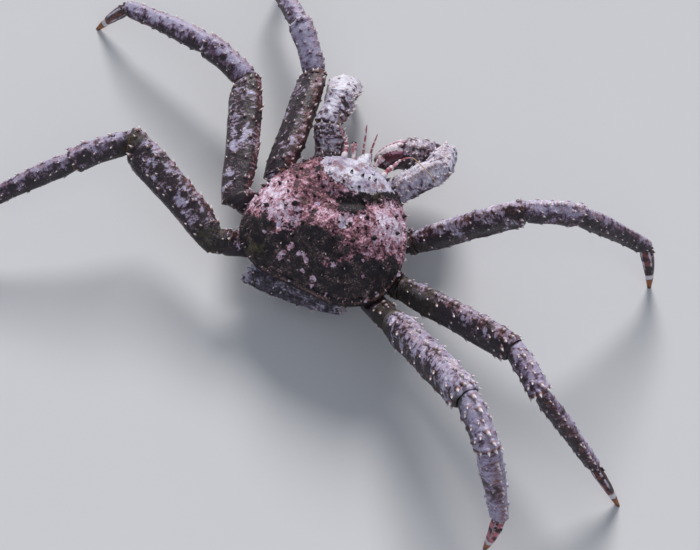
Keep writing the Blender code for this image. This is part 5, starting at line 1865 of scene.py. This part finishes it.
@dataclass
class ClawArm(Limb):
    """A claw arm of four segments and a movable finger."""

    crest: Row = (0.0, 0.0, 1.0)

    def crests(self) -> Array:
        """One direction for the whole arm."""
        return np.tile(self.crest, (len(self.kinds), 1))

    def finger(self, palm: Segment, shares: Array, turns: Array, side: int) -> Array:
        """Points of a finger.

        Its middle runs from the knuckle to the tip, offset to one side of the hand, and the rings turn
        from the palm's axis to the finger's. Shares under 0 run back into the palm.

        Args:
            palm: The palm.
            shares: Places along the finger, (n, 1).
            turns: Turns from the crest, (1, m).
            side: 1 over the hand's middle, -1 under it.

        Returns:
            Points, (n, m, 3).
        """
        shares, turns = np.broadcast_arrays(shares, turns)
        knuckle = palm.end + palm.axis * GAP
        run = np.array(self.joints[-1]) * MM - knuckle
        ahead = np.clip(shares, 0.0, 1.0)[..., None]
        behind = np.minimum(shares, 0.0)[..., None] * np.linalg.norm(run)
        offset = through(ahead, FINGER_OFFSET) * palm.height * side
        centre = knuckle + run * ahead + palm.axis * behind + palm.crest * offset
        plane = unit(palm.axis * (1 - ahead) + unit(run) * ahead)
        crest = unit(palm.crest - plane * (plane @ palm.crest)[..., None])
        out = np.cross(plane, crest)
        up = through(shares, FINGER_HEIGHT) * palm.height * blunt(np.cos(turns))
        wide = through(shares, FINGER_THICKNESS) * palm.thickness * blunt(np.sin(turns))
        return centre + up[..., None] * crest + wide[..., None] * out

    def toothed(self, skin: Skin, palm: Segment, side: int) -> None:
        """Raises blunt teeth along a finger's biting edge, and colours its tip and teeth like horn.

        Args:
            skin: The finger's skin, which holds places along it as "finger".
            palm: The palm.
            side: 1 over the hand's middle, -1 under it.
        """
        at, heights = np.array(TEETH).T
        feet = self.finger(palm, at[:, None], np.array([[0.0 if side < 0 else math.pi]]), side)[:, 0]
        found = np.zeros(len(skin.points))
        for foot, height in zip(feet, heights):
            away = np.linalg.norm(skin.points - foot, axis=1)
            found = np.maximum(found, height * bell(away, 0, 1.35 * MM * height + 0.0006))
        skin.swell(MM * found)
        tipped = smooth(skin.values.pop("finger"), 0.84, 0.96)
        skin.values["horn"] = np.maximum(tipped, 0.5 * found / heights.max())

    def hand(self, palm: Segment) -> Skin:
        """Palm and fixed finger as one tube: the palm's rings ease into the finger's past the knuckle.

        Args:
            palm: The palm.

        Returns:
            The skin with its spines.
        """
        turns = ring(160)[None, :]
        run = float(np.linalg.norm(np.array(self.joints[-1]) * MM - palm.end))
        reach = 1 + run / palm.length
        w = np.concatenate([np.linspace(0.0, 1.2, 76), np.linspace(1.21, reach, 44)])[:, None]
        past = np.maximum(w - 1, 0.0)[..., None] * palm.length
        as_palm = palm.surface(np.minimum(w, 1.0), turns) + past * palm.axis
        along_finger = (w - 1) * palm.length / run
        share = smooth(w, 0.8, 1.16)[..., None]
        body = as_palm * (1 - share) + self.finger(palm, along_finger, turns, -1) * share
        values = knuckled(np.minimum(w[:, 0], 1.0), turns)
        values["finger"] = np.r_[np.zeros(len(KNUCKLE)), along_finger[:, 0]][:, None]
        skin = tube(np.concatenate([drawn_in(body[0], palm.start_plane, KNUCKLE), body]), values)
        self.toothed(skin, palm, -1)
        return palm.finished(skin, self.scale, self.seed + 9)

    def thumb(self, palm: Segment) -> Skin:
        """The movable finger, its root rounded and sunk in the palm, with knobs along its back.

        Args:
            palm: The palm.

        Returns:
            The skin with its knobs.
        """
        turns = ring(110)[None, :]
        shares = np.concatenate([np.linspace(-0.32, 0.0, 16), np.linspace(0.015, 1.0, 84)])[:, None]
        body = self.finger(palm, shares, turns, 1)
        middle = body.mean(axis=1, keepdims=True)
        rounding = np.sqrt(np.clip(1 - (np.minimum(shares, -0.1) + 0.1) ** 2 / 0.222**2, 0.02, 1.0))
        body = middle + (body - middle) * rounding[..., None]
        values = {"along": np.clip(shares, 0, 1), "finger": shares, "crest": np.cos(turns), "turn": turns}
        skin = tube(body, values)
        self.toothed(skin, palm, 1)
        points, turn = skin.points, skin.values.pop("turn")
        back = bell(np.degrees(turn + math.pi) % 360 - 180, 0, 12.0) * smooth(skin.values["along"], 0.02, 0.1)
        amount = 0.5 * fractal(points, 0.008, 3, 91) + 0.3 * pebbles(points, 0.003, 93)
        amount = amount + back * (0.8 + 0.6 * noise(points, 0.004, 95))
        skin.swell(MM * amount * (1 - 0.8 * skin.values["horn"]))
        skin.values["weave"] = palm.weave(points)
        at = np.linspace(0.06, 0.66, 6)[:, None]
        feet = self.finger(palm, at, np.array([[-0.35, 0.5]]), 1).reshape(-1, 3)
        aim = np.tile(unit(palm.crest + 0.8 * palm.axis), (len(feet), 1))
        knobs = spines(feet, aim, 0 * feet, np.full(len(feet), 0.0021), np.full(len(feet), 0.0011))
        return joined([skin, knobs])

    def build(self, shell: Carapace) -> None:
        """Builds and dresses the arm, the hand and the finger.

        Args:
            shell: The shell, under which the base is pressed.
        """
        *arm, palm = self.segments()
        for index, segment in enumerate(arm):
            skin = segment.skin(ARM_CELL, self.scale, self.seed + index)
            self.dress(under_shell(skin, shell) if segment.kind == "base" else skin, segment.kind)
        self.dress(self.hand(palm), "palm")
        self.dress(self.thumb(palm), "finger")


ARM_KINDS = ("base", "merus", "carpus", "palm")
# Seeds of the spines' stray, and the size of the claw arms' spines
LEG_SEED, ARM_SEED, SEED_STEP = 110, 170, 10
ARM_SPINES = 0.95
# Joints of the walking legs from the thorax to the toe: x, y and z, in millimetres
LEG_JOINTS: dict[str, tuple[Row, ...]] = {
    "1_right": (
        *((-36, -26, 56), (-93, -36, 73), (-198, -88, 154)),
        *((-249, -118, 139), (-323, -156, 60), (-344, -141, -2)),
    ),
    "2_right": (
        *((-38, 4, 56), (-106, 25, 76), (-254, 55, 127)),
        *((-301, 89, 131), (-379, 106, 50), (-421, 117, -2)),
    ),
    "3_right": (
        *((-34, 30, 56), (-115, 69, 84), (-237, 139, 155)),
        *((-280, 178, 149), (-314, 207, 54), (-311, 230, -2)),
    ),
    "1_left": (
        *((36, -26, 56), (88, -40, 75), (117, -183, 66)),
        *((160, -226, 85), (239, -289, 51), (229, -330, -2)),
    ),
    "2_left": (
        *((38, 4, 56), (115, 10, 80), (181, -132, 76)),
        *((245, -151, 79), (363, -165, 52), (404, -148, -2)),
    ),
    "3_left": (
        *((34, 30, 56), (110, 70, 78), (249, 16, 103)),
        *((298, 65, 95), (374, 147, 63), (389, 150, -2)),
    ),
}
# How the legs differ: sections, gloom (painted darkening or paling, on the bases painted shade under the
# shell), size of spines, roll in degrees and blush
LEG_TRAITS: dict[str, tuple] = {
    "1_right": ({}, {"merus": -0.3, "carpus": -0.7, "propodus": -0.2}, 0.85, 0.0, 0.0),
    "2_right": ({}, {"base": 1.2, "merus": 0.4}, 1.0, 0.0, 0.0),
    "3_right": (
        {"merus": (0.034, 0.042, 0.05), "carpus": (0.025, 0.032, 0.0), "propodus": (0.025, 0.027, 0.1)},
        {"base": 1.2, "merus": -0.2, "carpus": -0.6, "propodus": -1.4},
        *(1.2, 0.0, 1.0),
    ),
    "1_left": (
        {"merus": (0.029, 0.044, 0.2)},
        {"base": 1.0, "merus": 1.5, "carpus": -0.8},
        *(0.75, 37.0, 0.0),
    ),
    "2_left": (
        {"merus": (0.026, 0.042, 0.15)},
        {"base": 1.0, "merus": 1.3, "propodus": -0.1},
        *(0.8, 0.0, 0.0),
    ),
    "3_left": ({}, {"base": 1.0, "merus": 0.6}, 0.9, 0.0, 0.0),
}
# The claw arms: joints, sections, direction of the upper edge, finishes of palm and finger, and gloom
# (painted darkening or paling, partly painted light and shade)
ARM_TRAITS: dict[str, tuple] = {
    "right": (
        ((-24, -44, 56), (-39, -85, 61), (-76, -129, 81), (-69, -152, 63), (-21, -135, 58), (3, -118, 47)),
        ((0.025, 0.028, 0.0), (0.03, 0.034, 0.0), (0.03, 0.033, 0.0), (0.034, 0.044, 0.0)),
        *((0.0, 0.0, 1.0), Tone.MAUVE_CLAW, Tone.FINGER, {"base": -1.5, "merus": -1.5, "carpus": -1.0}),
    ),
    "left": (
        ((24, -44, 56), (45, -79, 62), (65, -118, 89), (69, -157, 86), (82, -195, 46), (90, -214, 6)),
        ((0.025, 0.028, 0.0), (0.028, 0.035, 0.1), (0.029, 0.032, 0.0), (0.028, 0.038, 0.0)),
        *((-0.887, -0.462, 0.0), Tone.WHITE_CLAW, Tone.WHITE_CLAW, {"base": 0.5, "merus": 0.3}),
    ),
}


def limbs() -> list[Limb]:
    """The six walking legs and two claw arms, with their joints in the crab's frame.

    Returns:
        The limbs.
    """
    tones = dict(zip(LEG_KINDS, (Tone.LEG, Tone.LEG, Tone.LEG_END, Tone.LEG_END, Tone.TOE)))
    made: list[Limb] = []
    for place, (name, (own, gloom, *rest)) in enumerate(LEG_TRAITS.items()):
        sections, seed = LEG_SECTIONS | own, LEG_SEED + SEED_STEP * place
        made.append(Leg(f"leg_{name}", LEG_JOINTS[name], LEG_KINDS, sections, tones, gloom, seed, *rest))
    for place, (name, (joints, sized, crest, palm, finger, gloom)) in enumerate(ARM_TRAITS.items()):
        sections, seed = dict(zip(ARM_KINDS, sized)), ARM_SEED + SEED_STEP * place
        tones = dict.fromkeys(ARM_KINDS, Tone.ARM) | {"palm": palm, "finger": finger}
        arm = ClawArm(f"claw_{name}", joints, ARM_KINDS, sections, tones, gloom, seed, ARM_SPINES, crest)
        made.append(arm)
    return made


# Head


class Organ(Enum):
    """The kinds of small pieces at the head."""

    EYE = "eye"
    ANTENNULE = "antennule"
    ANTENNA = "antenna"
    MAXILLIPED = "maxilliped"


@dataclass
class HeadPiece:
    """An eye, feeler or mouthpart: a jointed tube along a path of x, y, z and radius in millimetres."""

    name: str
    organ: Organ
    path: tuple[Row, ...]
    joints: Row

    def line(self, shares: Array) -> tuple[Array, Array]:
        """Middle points and radii at shares of the path, by smooth curves through its stations.

        Args:
            shares: Places along the path, (n,).

        Returns:
            The points, (n, 3), and the radii, (n,).
        """
        at = np.linspace(0.0, 1.0, len(self.path))
        columns = [MM * through(shares, tuple(zip(at, column))) for column in zip(*self.path)]
        return np.stack(columns[:3], axis=-1), columns[3]

    def swept(self, shares: Array, radii: Array, around: int, push: Array | float = 0.0) -> Array:
        """Rings round the path, square to it, in a frame that starts level and follows the bends.

        Args:
            shares: Places along the path, (n,).
            radii: Radius of each ring.
            around: Points in a ring.
            push: How far each ring is moved aside.

        Returns:
            Points, (n, around, 3).
        """
        middle = self.line(shares)[0] + push
        tangents = unit(np.gradient(middle, axis=0))
        side = unit(np.cross(tangents, np.array((0.06, 0.05, 1.0))))
        over = np.cross(side, tangents)
        turns = ring(around)[:, None]
        spoke = np.cos(turns) * over[:, None] + np.sin(turns) * side[:, None]
        return middle[:, None] + radii[:, None, None] * spoke

    def stalk(self, rows: int, around: int, slim: float) -> Skin:
        """The tube, drawn in at its joints by a bell in the radius and flared before them.

        Args:
            rows: How many rings.
            around: Points in a ring.
            slim: Share of the path's radii.

        Returns:
            The skin, with its joints as "ring".
        """
        shares = np.linspace(0.0, 1.0, rows)
        radii = self.line(shares)[1] * slim
        dips = sum(bell(shares, joint, 0.012) for joint in self.joints)
        flares = sum(bell(shares, joint - 0.035, 0.022) for joint in self.joints)
        radii = radii * (1 - 0.3 * dips + 0.16 * flares)
        radii[-1] *= 0.4
        values = {"along": shares[:, None], "ring": np.clip(flares, 0, 1)[:, None]}
        skin = tube(self.swept(shares, radii, around), values)
        return skin.swell(0.05 * MM * noise(skin.points, 0.0016, 97))

    def build(self) -> None:
        """Builds the piece with its own details."""
        skin = getattr(self, self.organ.value)()
        eye = self.organ is Organ.EYE
        finish = EyeFinish("eye_lens") if eye else FeelerFinish("feeler_rose")
        skin.piece(f"{self.name}_part", finish, self.name, "eyes" if eye else "feelers")

    def eye(self) -> Skin:
        """A stalk that swells into a rounded lens, with a spinelet over it.

        Returns:
            The skin.
        """
        shares = np.concatenate([np.linspace(0.0, 0.5, 30), np.linspace(0.51, 1.0, 44)])
        ball = np.sqrt(np.clip(1 - ((shares - 0.76) / 0.245) ** 2, 0.0, 1.0)) * 0.0043
        radii = np.where(shares > 0.56, np.maximum(ball, 0.0004), 0.85 * self.line(shares)[1])
        skin = tube(self.swept(shares, radii, 44), {"lens": smooth(shares, 0.78, 0.86)[:, None]})
        middle = self.line(np.array([0.45, 0.58]))[0]
        aim = unit(middle[1:] - middle[:1] + UP * 0.004)
        root, length, radius = middle[:1] + UP * 0.0024, np.array([0.003]), np.array([0.0011])
        return joined([skin, spines(root, aim, 0 * aim, length, radius)])

    def antennule(self) -> Skin:
        """Three stalk joints, then a thick and a thin whip side by side.

        Returns:
            The skin.
        """
        stalk = self.stalk(120, 18, 0.72)
        shares = np.linspace(0.72, 1.0, 40)
        spread = ((shares - 0.72) / 0.28)[:, None] ** 1.4 * np.array((0.0, 0.004, -0.001))
        radii = 0.5 * self.line(shares)[1] * (1 + 0.12 * np.sin(90 * shares))
        whip = tube(self.swept(shares, radii, 10, spread))
        whip.values = {"ring": np.full(len(whip.points), 0.5)}
        return joined([stalk, whip])

    def antenna(self) -> Skin:
        """A spiny stalk of four joints, then a long ringed whip.

        Returns:
            The skin.
        """
        stalk = self.stalk(280, 16, 0.7)
        along = stalk.values["along"]
        stalk.values["whip"] = smooth(along, 0.5, 0.62) * 0.85
        stalk.swell(0.0001 * np.sin(along * 420) * smooth(along, 0.45, 0.52))
        at = np.array([0.2, 0.3, 0.36])
        middle, radii = self.line(at)
        outward = unit(UP + np.array((np.sign(middle[0, 0]) * 0.9, 0.0, 0.0)))
        aim = unit(unit(self.line(at + 0.05)[0] - middle) + 0.6 * outward)
        feet = middle + outward * radii[:, None] * 0.6
        return joined([stalk, spines(feet, aim, 0 * aim, np.full(3, 0.0042), np.full(3, 0.0012))])

    def maxilliped(self) -> Skin:
        """A jointed mouthpart with rows of bristles along its inner edge.

        Returns:
            The skin.
        """
        stalk = self.stalk(140, 40, 1.0)
        stalk.swell(MM * 0.3 * fractal(stalk.points, 0.005, 3, 95) * smooth(stalk.values["along"], 0.1, 0.3))
        shares = np.linspace(0.45, 0.97, 46)
        middle, radii = self.line(shares)
        direction = unit(self.line(shares + 0.01)[0] - middle)
        inward = np.array((-np.sign(middle[0, 0]), 0.0, 0.0))
        wave = np.sin(np.arange(46) * 2.4)[:, None]
        lean = unit(inward + 0.5 * direction + 0.5 * wave * np.array((0.0, -0.8, -0.6)))
        feet = middle + lean * radii[:, None] * 0.85
        return joined([stalk, spines(feet, lean, 0.3 * direction, np.full(46, 0.0032), np.full(46, 0.00042))])


def head_pieces() -> list[HeadPiece]:
    """The eyes, feelers and mouthparts, with their paths in the crab's frame.

    Returns:
        The pieces.
    """
    mouth = (
        *((10, -52, 56, 7.0), (13, -80, 62, 6.6), (15, -93, 62, 6.0)),
        *((15, -99, 53, 5.2), (12, -98, 41, 4.2), (9, -93, 34, 2.4)),
    )
    paths = {
        "eye_left": (
            *((14, -70, 85, 3.0), (17, -91, 87, 3.0), (20, -98, 89, 3.2)),
            *((22, -102, 90, 4.6), (24, -106, 91, 4.7), (26, -109, 92, 2.6)),
        ),
        "eye_right": (
            *((-9, -70, 86, 2.8), (-10, -91, 89, 2.8), (-11, -97, 91, 3.0)),
            *((-12, -101, 92, 4.4), (-13, -105, 93, 4.5), (-14, -108, 94, 2.5)),
        ),
        "antennule_left": (
            *((6, -70, 81, 2.6), (8, -96, 86, 2.4), (11, -105, 94, 2.1)),
            *((12, -110, 103, 1.8), (14, -117, 113, 1.3), (15, -121, 121, 0.6)),
        ),
        "antennule_right": (
            *((-3, -70, 81, 2.6), (-2, -96, 86, 2.4), (1, -104, 93, 2.1)),
            *((1, -108, 102, 1.8), (0, -113, 112, 1.3), (-1, -116, 121, 0.6)),
        ),
        "antenna_left": (
            *((24, -66, 84, 5.0), (29, -94, 86, 4.6), (33, -104, 89, 3.4), (38, -108, 94, 1.6)),
            *((47, -115, 101, 1.0), (49, -116, 112, 0.8), (47, -113, 128, 0.7), (43, -107, 146, 0.4)),
        ),
        "antenna_right": (
            *((-22, -64, 84, 4.6), (-24, -92, 86, 4.4), (-29, -104, 89, 3.2), (-33, -112, 92, 1.6)),
            *((-44, -118, 97, 1.0), (-58, -112, 103, 0.8), (-73, -104, 107, 0.7), (-88, -94, 112, 0.4)),
        ),
        "maxilliped_left": mouth,
        "maxilliped_right": tuple((-x, y, z, radius) for x, y, z, radius in mouth),
    }
    joints = {
        Organ.EYE: (0.3,),
        Organ.ANTENNULE: (0.3, 0.44, 0.6, 0.78),
        Organ.ANTENNA: (0.16, 0.27, 0.38, 0.45),
        Organ.MAXILLIPED: (0.2, 0.4, 0.58, 0.78),
    }
    organs = {name: Organ(name.rsplit("_", 1)[0]) for name in paths}
    return [HeadPiece(name, organs[name], path, joints[organs[name]]) for name, path in paths.items()]


# Studio


@dataclass
class Studio:
    """A pale floor, soft lights and the camera."""

    camera_place: Row = (-0.4635, 0.9065, 2.056)
    camera_right: Row = (-0.887, -0.462, 0.0)
    camera_up: Row = (0.418, -0.804, 0.423)
    focal_pixels: float = 1951.4
    picture_width: float = 700.0
    sensor: float = 36.0
    floor_reach: float = 40.0
    world: Row = (0.8, 0.87, 1.0, 1.0)
    world_strength: float = 0.3
    # Name, the direction it shines from, its strength, how wide it is in degrees, and its colour
    lights: tuple[tuple, ...] = (
        ("key_light", (0.4, -0.72, 0.57), 3.0, 22.0, (1.0, 0.975, 0.96)),
        ("fill_light", (-0.5, 0.5, 0.9), 0.45, 60.0, (0.93, 0.95, 1.0)),
    )

    def build(self) -> None:
        """Sets up the floor, the light and the camera."""
        scene = bpy.context.scene
        scene.view_settings.view_transform = "Standard"
        corners = self.floor_reach * np.array([(-1, -1), (1, -1), (1, 1), (-1, 1)])
        points = np.column_stack([corners, np.full(4, -0.0001)])
        floor = Skin(points, np.array([[0, 1, 2, 3]]), np.zeros((0, 3), int)).shown("floor", points)
        floor.data.materials.append(FloorFinish("floor_paint").material())
        scene.world = bpy.data.worlds.new("studio")
        scene.world.use_nodes = True
        backdrop = scene.world.node_tree.nodes["Background"].inputs
        backdrop["Color"].default_value, backdrop["Strength"].default_value = self.world, self.world_strength
        for name, source, strength, width, colour in self.lights:
            lamp = bpy.data.lights.new(name, "SUN")
            lamp.energy, lamp.angle, lamp.color = strength, math.radians(width), colour
            holder = bpy.data.objects.new(name, lamp)
            holder.location = Vector(source) * 2
            holder.rotation_euler = (-Vector(source)).to_track_quat("-Z", "Y").to_euler()
            scene.collection.objects.link(holder)
        self.camera(scene)

    def camera(self, scene: bpy.types.Scene) -> None:
        """Places the camera at the picture's angle, above the crab and behind its right side.

        Args:
            scene: The scene that it looks at.
        """
        lens = bpy.data.cameras.new("camera")
        lens.sensor_width = self.sensor
        lens.lens = self.focal_pixels / self.picture_width * self.sensor
        lens.clip_start, lens.clip_end = 0.05, 100.0
        holder = bpy.data.objects.new("camera", lens)
        right, up = Vector(self.camera_right).normalized(), Vector(self.camera_up)
        up = (up - right * up.dot(right)).normalized()
        turned = Matrix((right, up, right.cross(up))).transposed().to_4x4()
        holder.matrix_world = Matrix.Translation(self.camera_place) @ turned
        scene.collection.objects.link(holder)
        scene.camera = holder


def main() -> None:
    """Builds the crab over its frame, then the studio."""
    logging.basicConfig(level=logging.INFO, format="%(message)s")
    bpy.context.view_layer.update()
    shell = Carapace()
    shell.build()
    Thorax(shell).build()
    Abdomen().build()
    for limb in limbs():
        limb.build(shell)
    for piece in head_pieces():
        piece.build()
    Studio().build()


if __name__ == "__main__":
    main()
